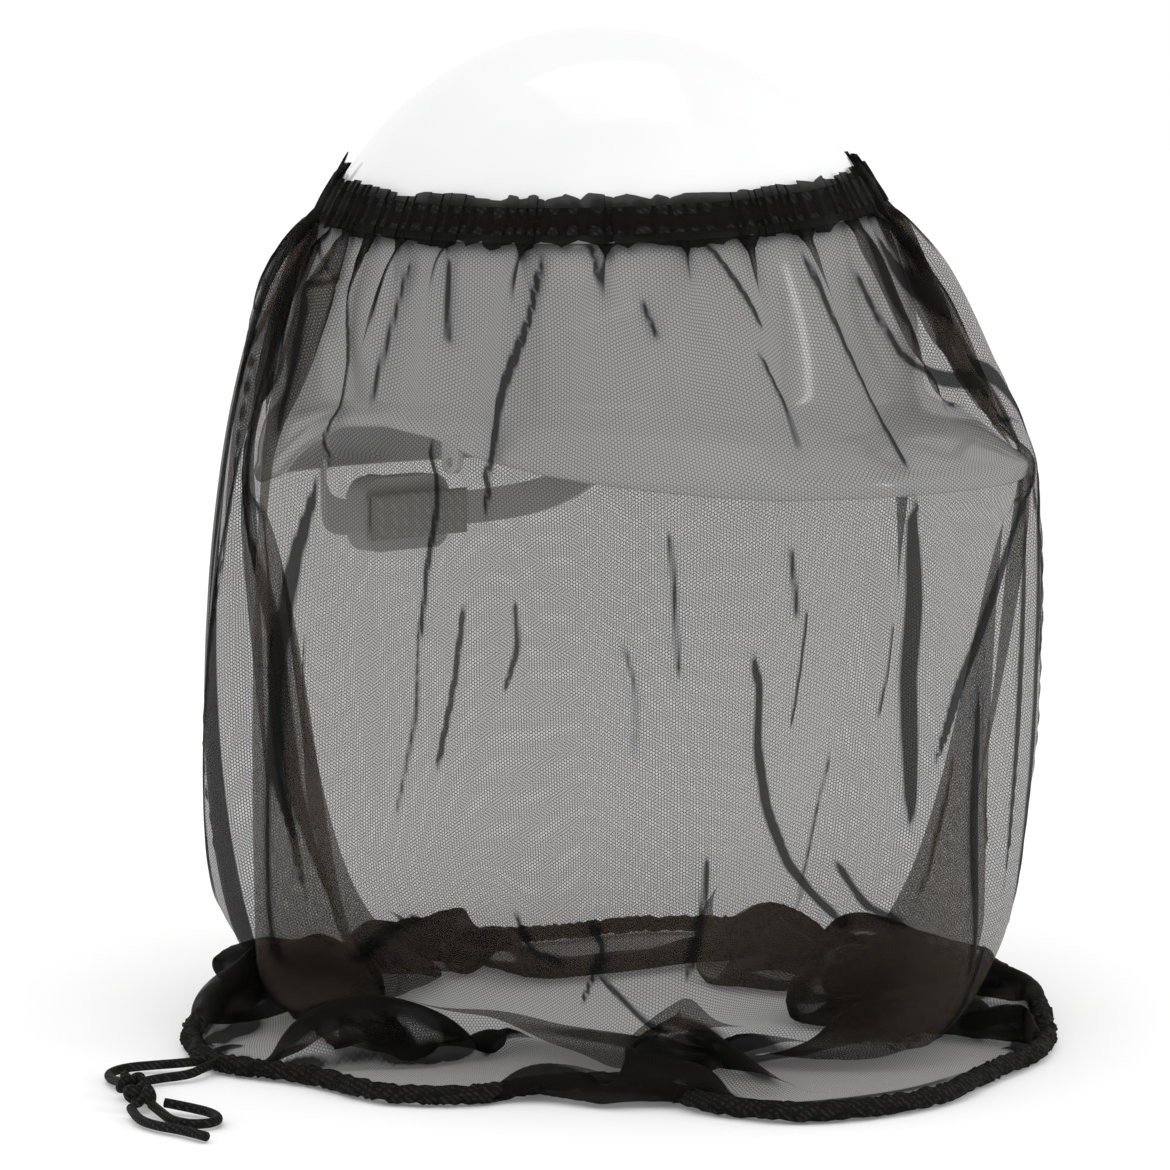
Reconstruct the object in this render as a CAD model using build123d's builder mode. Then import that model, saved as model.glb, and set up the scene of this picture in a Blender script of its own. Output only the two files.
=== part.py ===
from build123d import *

import math
import os

# Beekeeping veil: a tube of fine netting, gathered on an elastic band round the crown of
# a hard hat, spread by the hat's brim, and hanging to a drawcord hem at the neck.
# Millimetres. The wearer faces -Y, +Z is up, and the origin is the centre of the
# headband's middle plane, where the wearer's head holds the hat.

# ---- Driving dimensions -------------------------------------------------------------

# The surface that the loose lower end of the net lies on
TABLE_Z = -230.0

# Hard hat
CROWN_LENGTH = 230.0
CROWN_WIDTH = 196.0
DOME_HEIGHT = 120.0
DOME_BASE_Z = -16.0
SHELL = 2.6
BRIM_SIDE = 112.0
BRIM_FRONT = 155.0
BRIM_REAR = 121.0
PEAK_SQUARENESS = 0.9
BRIM_WALL = 3.6

# Harness
BAND_HALF_WIDTH = 79.0
BAND_HALF_LENGTH = 97.0
BAND_THICKNESS = 1.8
BAND_HEIGHT = 26.0
BAND_REAR_Y = 74.0
PAD_THICKNESS = 3.0
STRAP_WIDTH = 20.0
STRAP_THICKNESS = 1.2
STRAP_RISE = 70.0
STRAP_BASE_Z = 6.0
STRAP_ANGLE = 45.0
STRAP_STAND_OFF = 4.6
KEY_WIDTH = 16.0
KEY_HEIGHT = 18.0

# Nape adjuster
ARM_X = 83.2
ARM_THICKNESS = 1.6
ARM_HEIGHT = 12.0
ARM_FRONT_Y = -14.0
NAPE_CENTRE_Y = 20.0
NAPE_REACH = 74.0
NAPE_Z = -66.0
HOUSING_WIDTH = 40.0
HOUSING_HEIGHT = 26.0
HOUSING_DEPTH = 11.0
HOUSING_WALL = 2.0
KNOB_RADIUS = 12.5
KNOB_LENGTH = 9.0
KNOB_TEETH = 18
AXLE_RADIUS = 2.5
RUNNING_GAP = 0.4

# Veil
HEADING_LOW_Z = 44.7
HEADING_HIGH_Z = 58.2
HEADING_LEAN = 6.2
HEADING_LEAN_TOWARDS = 203.0
CROWN_LAYER_HEIGHTS = (30.0, 38.0, 46.0, 54.0, 62.0, 70.0)
HEADING_GAP = 0.6
HEADING_THICKNESS = 3.6
HEADING_WALL = 1.0
ELASTIC_WIDTH = 8.0
ELASTIC_THICKNESS = 1.2
NET_WALL = 1.2
HEM_RADIUS = 3.6
HEM_WALL = 0.9
HEM_SIDE = 157.0
HEM_FRONT = 180.0
HEM_REAR = 150.0
HEM_HALF_GAP = 6.5
SEAM_ANGLE = 142.0
SEAM_WIDTH = 7.0
SEAM_THICKNESS = 1.4
CORD_DIAMETER = 3.0

# The net's outer face: height, half-width, reach to the front, reach to the rear
NET_RINGS = (
    (62.0, 77.4, 90.3, 90.3),
    (48.7, 85.4, 99.8, 99.8),
    (36.0, 91.8, 109.5, 106.8),
    (20.0, 98.6, 121.5, 113.4),
    (-4.0, 109.0, 142.0, 121.0),
    (-24.0, 116.0, 158.5, 128.0),
    (-48.0, 118.0, 161.5, 136.0),
    (-105.0, 119.0, 161.5, 142.0),
    (-165.0, 122.0, 163.0, 145.0),
    (-200.0, 138.0, 170.0, 147.0),
    (TABLE_Z + 2 * HEM_RADIUS + 0.2, HEM_SIDE, HEM_FRONT, HEM_REAR),
)

# The brim's outer face, flaring out of the dome: height, half-width, reach front and rear
BRIM_RINGS = (
    (-14.0, CROWN_WIDTH / 2, CROWN_LENGTH / 2, CROWN_LENGTH / 2),
    (-24.0, 107.0, 131.0, 118.5),
    (-37.0, BRIM_SIDE - 0.5, BRIM_FRONT - 0.5, BRIM_REAR - 0.5),
    (-56.0, BRIM_SIDE, BRIM_FRONT, BRIM_REAR),
)

# The brim's lower edge seen from the side, highest over the ears: reach along Y, height
BRIM_EDGE = (
    (-175.0, -41.5),
    (-135.0, -41.5),
    (-105.0, -38.5),
    (-75.0, -35.0),
    (-50.0, -31.0),
    (-30.0, -25.5),
    (-8.0, -23.0),
    (14.0, -24.2),
    (32.0, -31.5),
    (50.0, -43.0),
    (72.0, -47.0),
    (100.0, -48.5),
    (140.0, -50.0),
)

# The cord's free ends, from the hem's opening to the knot, and beyond it
CORD_EXIT_Y = 18.5
CORD_Z = TABLE_Z + CORD_DIAMETER / 2 + 0.4
HEM_Z = TABLE_Z + HEM_RADIUS
STRAND_UPPER = (
    (-156.6, 20.8, HEM_Z),
    (-163.6, 23.4, CORD_Z + 1.4),
    (-170.2, 30.5, CORD_Z + 0.6),
    (-178.5, 37.0, CORD_Z),
    (-188.5, 34.0, CORD_Z),
    (-193.5, 24.5, CORD_Z),
    (-196.5, 16.5, CORD_Z + 1.5),
)
STRAND_LOWER = (
    (-156.8, 16.2, HEM_Z),
    (-164.5, 14.8, CORD_Z + 1.2),
    (-171.5, 13.0, CORD_Z + 0.4),
    (-180.0, 17.0, CORD_Z),
    (-187.0, 17.5, CORD_Z),
    (-193.8, 11.5, CORD_Z + 1.2),
)
TAIL_LOOP = (
    (-205.0, -15.0, CORD_Z + 1.5),
    (-200.5, -22.5, CORD_Z + 0.4),
    (-199.5, -32.5, CORD_Z),
    (-205.0, -41.0, CORD_Z),
    (-213.0, -39.5, CORD_Z),
    (-214.8, -30.0, CORD_Z),
    (-211.5, -21.5, CORD_Z + 0.4),
    (-209.5, -14.0, CORD_Z + 1.5),
)
TAIL_END = (
    (-215.5, -11.5, CORD_Z + 1.0),
    (-220.5, -20.0, CORD_Z),
    (-222.5, -31.0, CORD_Z),
    (-220.0, -42.0, CORD_Z),
    (-220.5, -53.0, CORD_Z),
)
# Lumps of the double knot: place on the table and radius
KNOT_LIFT = 0.3
KNOT_LUMPS = (
    (-197.6, 11.6, 4.6),
    (-200.6, 6.2, 5.0),
    (-203.6, 0.2, 4.4),
    (-206.4, -5.4, 5.4),
    (-210.6, -9.8, 5.2),
)


# ---- Shared shapes ------------------------------------------------------------------

def egg(side, front, rear, squareness=PEAK_SQUARENESS, count=32, start=0.0, span=2 * math.pi):
    """Points round an outline that is squarer towards the front (-Y)."""
    points = []
    for step in range(count):
        turn = start + span * step / count
        across, along = math.cos(turn), math.sin(turn)
        power = squareness if along < 0 else 1.0
        reach = front if along < 0 else rear
        points.append((
            side * math.copysign(abs(across) ** power, across),
            reach * math.copysign(abs(along) ** power, along),
        ))
    return points


def crown_reach(z, half):
    """Half-size of the dome at a height, where `half` is its half-size at the base."""
    rise = max(z - DOME_BASE_Z, 0.0) / DOME_HEIGHT
    return half * math.sqrt(1.0 - rise * rise)


def dome(inset, low_z):
    """Solid dome with an upright skirt, narrowed across after turning a half-profile."""
    radius = CROWN_LENGTH / 2 - inset
    height = DOME_HEIGHT - inset
    with BuildPart() as solid:
        with BuildSketch(Plane.XZ):
            with BuildLine():
                EllipticalCenterArc((0, DOME_BASE_Z), radius, height, start_angle=0, arc_size=90)
                Polyline(
                    (0, DOME_BASE_Z + height), (0, low_z), (radius, low_z), (radius, DOME_BASE_Z)
                )
            make_face()
        revolve(axis=Axis.Z)
        scale(by=(CROWN_WIDTH / CROWN_LENGTH, 1, 1))
    return solid.part


def ring_loft(rings, inset, low=0.0, high=0.0, ruled=False):
    """Solid lofted through egg outlines; the end rings move out by `low` and `high`."""
    with BuildPart() as solid:
        for index, (z, side, front, rear) in enumerate(rings):
            if index == 0:
                z += high
            if index == len(rings) - 1:
                z -= low
            with BuildSketch(Plane.XY.offset(z)):
                with BuildLine():
                    Spline(*egg(side - inset, front - inset, rear - inset), periodic=True)
                make_face()
        loft(ruled=ruled)
    return solid.part


def oval_ring(half_width, half_length, thickness):
    """Sketch of an oval ring, measured inside, in the current sketch."""
    Ellipse(half_width + thickness, half_length + thickness)
    Ellipse(half_width, half_length, mode=Mode.SUBTRACT)


def cord_radii(name, points):
    """Radius of each corner: 0.45 of the shorter run over the tangent of half the turn."""
    radii = []
    vectors = [Vector(*point) for point in points]
    for before, corner, after in zip(vectors, vectors[1:], vectors[2:]):
        first, second = corner - before, after - corner
        half_turn = math.radians(first.get_angle(second)) / 2
        radii.append(0.45 * min(first.length, second.length) / math.tan(half_turn))
    print(name, "corner radii", [round(radius, 1) for radius in radii])
    return radii


def cord_tube(name, points):
    """Round cord along straight runs joined by tangent arcs."""
    with BuildPart() as tube:
        with BuildLine() as path:
            FilletPolyline(*points, radius=cord_radii(name, points))
        start = path.line @ 0
        with BuildSketch(Plane(origin=start, z_dir=path.line % 0)):
            Circle(CORD_DIAMETER / 2)
        sweep(path=path.line)
    length = sum(edge.length for edge in path.edges())
    expected = math.pi * (CORD_DIAMETER / 2) ** 2 * length
    print(name, "length", round(length, 1), "volume over expected",
          round(tube.part.volume / expected, 4))
    return tube.part


def save(part, name):
    part.label = name
    export_step(part, f"parts/{name}.step")


os.makedirs("parts", exist_ok=True)

# ---- Hard hat shell: dome, and a brim that flares out of it into the peak --------------

dome_outside = dome(0, DOME_BASE_Z - 1)
dome_inside = dome(SHELL, DOME_BASE_Z - 1)
brim_outside = ring_loft(BRIM_RINGS, 0.0, ruled=True)
brim_inside = ring_loft(BRIM_RINGS, BRIM_WALL, low=1.0, ruled=True)
with BuildPart() as hat_shell:
    add(dome_outside)
    add(brim_outside)
    add(dome_inside, mode=Mode.SUBTRACT)
    add(brim_inside, mode=Mode.SUBTRACT)
    with BuildSketch(Plane.YZ):
        with BuildLine():
            lower = Spline(*BRIM_EDGE)
            Polyline(
                lower @ 0, (BRIM_EDGE[0][0], 150), (BRIM_EDGE[-1][0], 150), lower @ 1
            )
        make_face()
    extrude(amount=BRIM_SIDE + 10, both=True, mode=Mode.INTERSECT)
save(hat_shell.part, "hat_shell")

# Ring tabs under the brim for a chin strap
TAB_Y = -38.3
TAB_X = 104.6
TAB_Z = -33.6
TAB_RADIUS = 3.7
TAB_HOLE = 1.6
TAB_THICKNESS = 2.4
TAB_TOP_Z = -25.0
with BuildPart() as chin_strap_tabs:
    for side in (-1, 1):
        with BuildSketch(Plane.YZ.offset(side * TAB_X)):
            with Locations((TAB_Y, TAB_Z)):
                Circle(TAB_RADIUS)
            with Locations((TAB_Y, (TAB_Z + TAB_TOP_Z) / 2)):
                Rectangle(2 * TAB_RADIUS, TAB_TOP_Z - TAB_Z)
            with Locations((TAB_Y, TAB_Z)):
                Circle(TAB_HOLE, mode=Mode.SUBTRACT)
        extrude(amount=TAB_THICKNESS / 2, both=True)
save(chin_strap_tabs.part, "chin_strap_tabs")

# ---- Harness -------------------------------------------------------------------------

with BuildPart() as headband:
    with BuildSketch(Plane.XY.offset(-BAND_HEIGHT / 2)):
        oval_ring(BAND_HALF_WIDTH, BAND_HALF_LENGTH, BAND_THICKNESS)
        with Locations((0, BAND_REAR_Y + 100)):
            Rectangle(300, 200, mode=Mode.SUBTRACT)
    extrude(amount=BAND_HEIGHT)
    # Guides that hold the nape strap's arms against the band
    for side in (-1, 1):
        with BuildSketch(Plane.XY.offset(-ARM_HEIGHT / 2 - 2.4)):
            with Locations((side * (ARM_X + 0.6), 4)):
                Rectangle(8.4, 12)
        extrude(amount=ARM_HEIGHT + 4.8)
        with BuildSketch(Plane.XY.offset(-ARM_HEIGHT / 2 - RUNNING_GAP)):
            with Locations((side * (ARM_X + ARM_THICKNESS / 2), 4)):
                Rectangle(ARM_THICKNESS + 2 * RUNNING_GAP, 20)
        extrude(amount=ARM_HEIGHT + 2 * RUNNING_GAP, mode=Mode.SUBTRACT)
save(headband.part, "headband")

with BuildPart() as sweatband:
    with BuildSketch(Plane.XY.offset(-BAND_HEIGHT / 2 - 1)):
        oval_ring(
            BAND_HALF_WIDTH - PAD_THICKNESS - 0.1,
            BAND_HALF_LENGTH - PAD_THICKNESS - 0.1,
            PAD_THICKNESS,
        )
        with Locations((0, -30 + 100)):
            Rectangle(300, 200, mode=Mode.SUBTRACT)
    extrude(amount=BAND_HEIGHT + 2)
save(sweatband.part, "sweatband")


def key_reach(angle, half_width, half_length):
    """Distance from the axis to an oval in a direction."""
    x, y = math.cos(math.radians(angle)), math.sin(math.radians(angle))
    return 1 / math.hypot(x / half_width, y / half_length)


def crown_strap(angle, lift, grow=0.0):
    """Webbing strap arched over the head between two keys, in an upright plane."""
    reach = key_reach(angle, BAND_HALF_WIDTH, BAND_HALF_LENGTH) + STRAP_STAND_OFF
    rise = STRAP_RISE + lift
    outer = STRAP_THICKNESS + grow
    across = Vector(math.cos(math.radians(angle)), math.sin(math.radians(angle)), 0)
    upright = Plane(origin=(0, 0, STRAP_BASE_Z), x_dir=across, z_dir=across.cross(Vector(0, 0, 1)))
    with BuildPart() as strap:
        with BuildSketch(upright):
            Ellipse(reach + outer, rise + outer)
            Ellipse(reach - grow, rise - grow, mode=Mode.SUBTRACT)
            with Locations((0, -100 - grow)):
                Rectangle(300, 200, mode=Mode.SUBTRACT)
        extrude(amount=STRAP_WIDTH / 2 + grow, both=True)
    return strap.part


RIGHT_LIFT = STRAP_THICKNESS + 0.6
save(crown_strap(STRAP_ANGLE, 0.0), "crown_strap_left")
save(crown_strap(180 - STRAP_ANGLE, RIGHT_LIFT), "crown_strap_right")


def oval_dome(drop):
    """Solid ellipsoid that lies `drop` inside the arched straps."""
    with BuildPart() as solid:
        Sphere(1)
        scale(by=(BAND_HALF_WIDTH + 3.4 - drop, BAND_HALF_LENGTH + 3.4 - drop, STRAP_RISE - drop))
    return Pos(0, 0, STRAP_BASE_Z) * solid.part


pad_outside = oval_dome(0.5)
pad_inside = oval_dome(0.5 + 2.4)
with BuildPart() as crown_pad:
    with BuildSketch(Plane.XY.offset(STRAP_BASE_Z + 20)):
        Ellipse(24, 30)
    extrude(amount=STRAP_RISE)
    add(pad_outside, mode=Mode.INTERSECT)
    add(pad_inside, mode=Mode.SUBTRACT)
save(crown_pad.part, "crown_pad")

# Four keys: each stands on the band, holds a strap's end and plugs into the shell
key_room = dome(SHELL + 0.1, DOME_BASE_Z - 20)
strap_rooms = (
    crown_strap(STRAP_ANGLE, 0.0, 0.15),
    crown_strap(180 - STRAP_ANGLE, RIGHT_LIFT, 0.15),
)
with BuildPart() as harness_keys:
    for angle in (STRAP_ANGLE, 180 - STRAP_ANGLE, 180 + STRAP_ANGLE, 360 - STRAP_ANGLE):
        band = key_reach(angle, BAND_HALF_WIDTH, BAND_HALF_LENGTH)
        out = Vector(math.cos(math.radians(angle)), math.sin(math.radians(angle)), 0)
        with BuildSketch(Plane(origin=out * band, x_dir=(0, 0, 1), z_dir=out)):
            with Locations((STRAP_BASE_Z + 1, 0)):
                RectangleRounded(KEY_HEIGHT, KEY_WIDTH, 3)
        extrude(amount=30)
    with BuildSketch(Plane.XY.offset(-40)):
        Ellipse(
            BAND_HALF_WIDTH + BAND_THICKNESS + 0.1, BAND_HALF_LENGTH + BAND_THICKNESS + 0.1
        )
    extrude(amount=80, mode=Mode.SUBTRACT)
    add(key_room, mode=Mode.INTERSECT)
    for room in strap_rooms:
        add(room, mode=Mode.SUBTRACT)
save(harness_keys.part, "harness_keys")

# ---- Nape adjuster -------------------------------------------------------------------


def nape_outline(inset):
    """Filled U under the hat: two straight arms and a half oval round the nape."""
    x = ARM_X + ARM_THICKNESS - inset
    reach = NAPE_REACH + ARM_THICKNESS - inset
    with BuildSketch(Plane.XY.offset(NAPE_Z - 30)) as outline:
        with BuildLine():
            EllipticalCenterArc((0, NAPE_CENTRE_Y), x, reach, start_angle=0, arc_size=180)
            Polyline(
                (-x, NAPE_CENTRE_Y), (-x, ARM_FRONT_Y), (x, ARM_FRONT_Y), (x, NAPE_CENTRE_Y)
            )
        make_face()
    return outline.sketch


def nape_side_view(half_height):
    """Side view of the strap: level along the arms, then down to the nape."""
    bend_y = NAPE_CENTRE_Y + 4
    middle_y = NAPE_CENTRE_Y + NAPE_REACH * 0.5
    end_y = NAPE_CENTRE_Y + NAPE_REACH + 6
    edges = []
    with BuildSketch(Plane.YZ) as view:
        with BuildLine():
            for height in (half_height, -half_height):
                edges.append(
                    Spline(
                        (bend_y, height),
                        (middle_y, NAPE_Z * 0.5 + height),
                        (end_y, NAPE_Z + height),
                        tangents=[(1, 0), (1, 0)],
                    )
                )
            high, low = edges
            Line(high @ 1, low @ 1)
            Polyline(
                high @ 0, (ARM_FRONT_Y - 1, half_height), (ARM_FRONT_Y - 1, -half_height), low @ 0
            )
        make_face()
    return view.sketch


NAPE_Y = NAPE_CENTRE_Y + NAPE_REACH
nape_outer = nape_outline(0)
nape_inner = nape_outline(ARM_THICKNESS)
nape_view = nape_side_view(ARM_HEIGHT / 2)
with BuildPart() as nape_strap:
    extrude(nape_outer, amount=60 - NAPE_Z)
    extrude(nape_inner, amount=60 - NAPE_Z, mode=Mode.SUBTRACT)
    extrude(nape_view, amount=ARM_X + 10, both=True, mode=Mode.INTERSECT)
save(nape_strap.part, "nape_strap")

HOUSING_Y = NAPE_Y + ARM_THICKNESS + 0.2
with BuildPart() as ratchet_housing:
    with BuildSketch(Plane(origin=(0, HOUSING_Y, NAPE_Z), x_dir=(1, 0, 0), z_dir=(0, 1, 0))):
        RectangleRounded(HOUSING_WIDTH, HOUSING_HEIGHT, 7)
    extrude(amount=HOUSING_DEPTH)
    fillet(ratchet_housing.faces().sort_by(Axis.Y)[-1].edges(), 1.6)
    inside = Plane(
        origin=(0, HOUSING_Y + HOUSING_WALL, NAPE_Z), x_dir=(1, 0, 0), z_dir=(0, 1, 0)
    )
    with BuildSketch(inside):
        RectangleRounded(HOUSING_WIDTH - 2 * HOUSING_WALL, HOUSING_HEIGHT - 2 * HOUSING_WALL, 5)
    extrude(amount=HOUSING_DEPTH - 2 * HOUSING_WALL, mode=Mode.SUBTRACT)
    with BuildSketch(inside):
        Circle(AXLE_RADIUS + 0.05)
    extrude(amount=HOUSING_DEPTH, mode=Mode.SUBTRACT)
save(ratchet_housing.part, "ratchet_housing")

PINION_Y = HOUSING_Y + HOUSING_WALL + RUNNING_GAP
PINION_LENGTH = HOUSING_DEPTH - 2 * HOUSING_WALL - 2 * RUNNING_GAP
PINION_TEETH = 9
with BuildPart() as ratchet_pinion:
    with BuildSketch(Plane(origin=(0, PINION_Y, NAPE_Z), x_dir=(1, 0, 0), z_dir=(0, 1, 0))):
        Circle(5.2)
        with PolarLocations(5.9, PINION_TEETH):
            Rectangle(2.2, 1.7)
    extrude(amount=PINION_LENGTH)
save(ratchet_pinion.part, "ratchet_pinion")

KNOB_Y = HOUSING_Y + HOUSING_DEPTH + RUNNING_GAP
with BuildPart() as ratchet_knob:
    with BuildSketch(Plane(origin=(0, KNOB_Y, NAPE_Z), x_dir=(1, 0, 0), z_dir=(0, 1, 0))):
        Circle(KNOB_RADIUS)
        with PolarLocations(KNOB_RADIUS + 0.4, KNOB_TEETH):
            Circle(1.1, mode=Mode.SUBTRACT)
    extrude(amount=KNOB_LENGTH)
    # Axle that reaches the pinion
    axle = Plane(
        origin=(0, PINION_Y + PINION_LENGTH, NAPE_Z), x_dir=(1, 0, 0), z_dir=(0, 1, 0)
    )
    with BuildSketch(axle):
        Circle(AXLE_RADIUS)
    extrude(amount=KNOB_Y - PINION_Y - PINION_LENGTH)
save(ratchet_knob.part, "ratchet_knob")

with BuildPart() as nape_pad:
    with BuildSketch(Plane(origin=(0, NAPE_Y - 5.6, NAPE_Z), x_dir=(1, 0, 0), z_dir=(0, 1, 0))):
        RectangleRounded(46, 16, 6)
    extrude(amount=2.6)
save(nape_pad.part, "nape_pad")

# ---- Veil ----------------------------------------------------------------------------


lean = math.radians(HEADING_LEAN)
lean_towards = math.radians(HEADING_LEAN_TOWARDS)
heading_axis = Vector(
    math.sin(lean) * math.cos(lean_towards),
    math.sin(lean) * math.sin(lean_towards),
    math.cos(lean),
)


def leaning_plane(z):
    """Plane square to the heading's leaning axis, through a height on the dome's axis."""
    return Plane(origin=(0, 0, z), z_dir=heading_axis)


def crown_layer(stand_off):
    """Solid lofted through ovals that follow the dome above the brim at a stand-off."""
    with BuildPart() as layer:
        for z in CROWN_LAYER_HEIGHTS:
            with BuildSketch(Plane.XY.offset(z)):
                Ellipse(
                    crown_reach(z, CROWN_WIDTH / 2) + stand_off,
                    crown_reach(z, CROWN_LENGTH / 2) + stand_off,
                )
        loft()
    return layer.part


def heading_band(inner, outer, low_z, high_z):
    """Band between two stand-offs from the dome and two leaning planes."""
    with BuildPart() as band:
        add(crown_layer(outer))
        with BuildSketch(leaning_plane(low_z)):
            Rectangle(400, 400)
        extrude(amount=(high_z - low_z) * math.cos(lean), mode=Mode.INTERSECT)
        add(crown_layer(inner), mode=Mode.SUBTRACT)
    return band.part


def cut_at_heading(part):
    """The part below the heading's lower edge."""
    with BuildPart() as below:
        add(part)
        with BuildSketch(leaning_plane(HEADING_LOW_Z - 0.3)):
            Rectangle(400, 400)
        extrude(amount=80, mode=Mode.SUBTRACT)
    return below.part


# The tunnel in the heading, and the elastic in it, lean in the same way
MIDDLE_Z = (HEADING_LOW_Z + HEADING_HIGH_Z) / 2
ELASTIC_SPAN = (MIDDLE_Z - ELASTIC_WIDTH / 2, MIDDLE_Z + ELASTIC_WIDTH / 2)
TUNNEL_SPAN = (ELASTIC_SPAN[0] - 0.4, ELASTIC_SPAN[1] + 0.4)
HEADING_OUTER = HEADING_GAP + HEADING_THICKNESS
ELASTIC_GAP = HEADING_GAP + (HEADING_THICKNESS - ELASTIC_THICKNESS) / 2
heading_whole = heading_band(HEADING_GAP, HEADING_OUTER, HEADING_LOW_Z, HEADING_HIGH_Z)
tunnel = heading_band(HEADING_GAP + HEADING_WALL, HEADING_OUTER - HEADING_WALL, *TUNNEL_SPAN)

with BuildPart() as top_casing:
    add(heading_whole)
    add(tunnel, mode=Mode.SUBTRACT)
save(top_casing.part, "top_casing")

save(
    heading_band(ELASTIC_GAP, ELASTIC_GAP + ELASTIC_THICKNESS, *ELASTIC_SPAN), "top_elastic"
)

net_outside = ring_loft(NET_RINGS, 0.0)
net_inside = ring_loft(NET_RINGS, NET_WALL)
with BuildPart() as netting:
    add(net_outside)
    add(net_inside, mode=Mode.SUBTRACT)
save(cut_at_heading(netting.part), "netting")

# Seam: a narrow strip just outside the net, and its pointed end above the heading
seam_outside = ring_loft(NET_RINGS, -0.2 - SEAM_THICKNESS)
seam_inside = ring_loft(NET_RINGS, -0.2)
seam_direction = Vector(
    math.cos(math.radians(SEAM_ANGLE)), math.sin(math.radians(SEAM_ANGLE)), 0
)
seam_plane = Plane(origin=(0, 0, 0), x_dir=(0, 0, 1), z_dir=seam_direction)
with BuildPart() as side_seam:
    add(seam_outside)
    add(seam_inside, mode=Mode.SUBTRACT)
    with BuildSketch(seam_plane):
        Rectangle(600, SEAM_WIDTH)
    extrude(amount=300, mode=Mode.INTERSECT)
save(cut_at_heading(side_seam.part), "side_seam")

# Pointed end of the seam that stands above the heading
seam_top_z = HEADING_HIGH_Z - 4.3
seam_top_reach = key_reach(
    SEAM_ANGLE,
    crown_reach(seam_top_z, CROWN_WIDTH / 2) + HEADING_GAP,
    crown_reach(seam_top_z, CROWN_LENGTH / 2) + HEADING_GAP,
)
seam_upright = Plane(
    origin=(0, 0, seam_top_z + 0.4),
    x_dir=seam_direction,
    z_dir=seam_direction.cross(Vector(0, 0, 1)),
)
with BuildPart() as seam_end:
    with BuildSketch(seam_upright):
        with BuildLine():
            Polyline(
                (seam_top_reach, 0),
                (seam_top_reach + HEADING_THICKNESS, 0),
                (seam_top_reach + 4.4, 4.2),
                (seam_top_reach + 4.0, 8.0),
                (seam_top_reach + 2.2, 4.2),
                close=True,
            )
        make_face()
    extrude(amount=SEAM_THICKNESS, both=True)
save(seam_end.part, "seam_end")

# Hem: a channel round the neck opening with the drawcord whole inside it
def hem_tube(radius, half_gap):
    """Round tube along the hem's outline, open where the cord's two ends come out."""
    start = math.pi - math.asin(CORD_EXIT_Y / HEM_REAR) + half_gap / HEM_REAR
    span = 2 * math.pi - 2 * half_gap / HEM_REAR
    points = egg(HEM_SIDE, HEM_FRONT, HEM_REAR, count=36, start=start, span=span)
    points += egg(HEM_SIDE, HEM_FRONT, HEM_REAR, count=1, start=start + span)
    with BuildPart() as tube:
        with BuildLine(Plane.XY.offset(HEM_Z)) as path:
            Spline(*points)
        with BuildSketch(Plane(origin=path.line @ 0, z_dir=path.line % 0)):
            Circle(radius)
        sweep(path=path.line)
    return tube.part


channel_outside = hem_tube(HEM_RADIUS, HEM_HALF_GAP)
channel_inside = hem_tube(HEM_RADIUS - HEM_WALL, HEM_HALF_GAP - 0.5)
with BuildPart() as bottom_hem:
    add(channel_outside)
    add(channel_inside, mode=Mode.SUBTRACT)
save(bottom_hem.part, "bottom_hem")
save(hem_tube(CORD_DIAMETER / 2, HEM_HALF_GAP + 1.5), "drawcord")

for name, points in (
    ("cord_strand_upper", STRAND_UPPER),
    ("cord_strand_lower", STRAND_LOWER),
    ("cord_tail_loop", TAIL_LOOP),
    ("cord_tail_end", TAIL_END),
):
    save(cord_tube(name, points), name)

# The double knot that joins the two ends
with BuildPart() as cord_knot:
    for x, y, radius in KNOT_LUMPS:
        with Locations((x, y, TABLE_Z + radius + KNOT_LIFT)):
            Sphere(radius)
save(cord_knot.part, "cord_knot")
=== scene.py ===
import math

import bpy
import numpy as np
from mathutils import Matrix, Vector


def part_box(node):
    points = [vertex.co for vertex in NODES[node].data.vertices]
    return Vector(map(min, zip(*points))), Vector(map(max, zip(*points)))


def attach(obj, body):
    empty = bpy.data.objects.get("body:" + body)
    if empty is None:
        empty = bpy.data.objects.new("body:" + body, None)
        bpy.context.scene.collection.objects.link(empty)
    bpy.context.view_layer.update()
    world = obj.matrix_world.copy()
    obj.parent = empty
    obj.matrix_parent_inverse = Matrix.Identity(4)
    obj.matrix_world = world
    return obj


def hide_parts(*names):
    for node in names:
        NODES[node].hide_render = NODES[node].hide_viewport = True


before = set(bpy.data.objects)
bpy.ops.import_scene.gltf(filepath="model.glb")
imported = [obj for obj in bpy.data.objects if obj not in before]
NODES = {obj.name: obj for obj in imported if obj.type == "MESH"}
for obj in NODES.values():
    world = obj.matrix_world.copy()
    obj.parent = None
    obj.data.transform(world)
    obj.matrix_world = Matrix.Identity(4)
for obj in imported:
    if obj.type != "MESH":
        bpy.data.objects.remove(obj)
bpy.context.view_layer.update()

MM = 0.001
TABLE = -230.0

# ---- Camera, light and floor -----------------------------------------------------------

scene = bpy.context.scene
azimuth, elevation, distance = math.radians(-45.0), math.radians(6.5), 1.5
camera_back = Vector((
    math.sin(azimuth) * math.cos(elevation),
    -math.cos(azimuth) * math.cos(elevation),
    math.sin(elevation),
))
camera_data = bpy.data.cameras.new("camera")
camera_data.sensor_width = 36.0
camera_data.lens = 4425.0 / 1170.0 * 36.0
camera = bpy.data.objects.new("camera", camera_data)
camera.location = Vector((-0.0036, 0.0036, -0.084)) + camera_back * distance
camera.rotation_mode = "QUATERNION"
camera.rotation_quaternion = (-camera_back).to_track_quat("-Z", "Y")
scene.collection.objects.link(camera)
scene.camera = camera
scene.view_settings.view_transform = "Standard"
scene.cycles.transparent_max_bounces = 64

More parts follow.
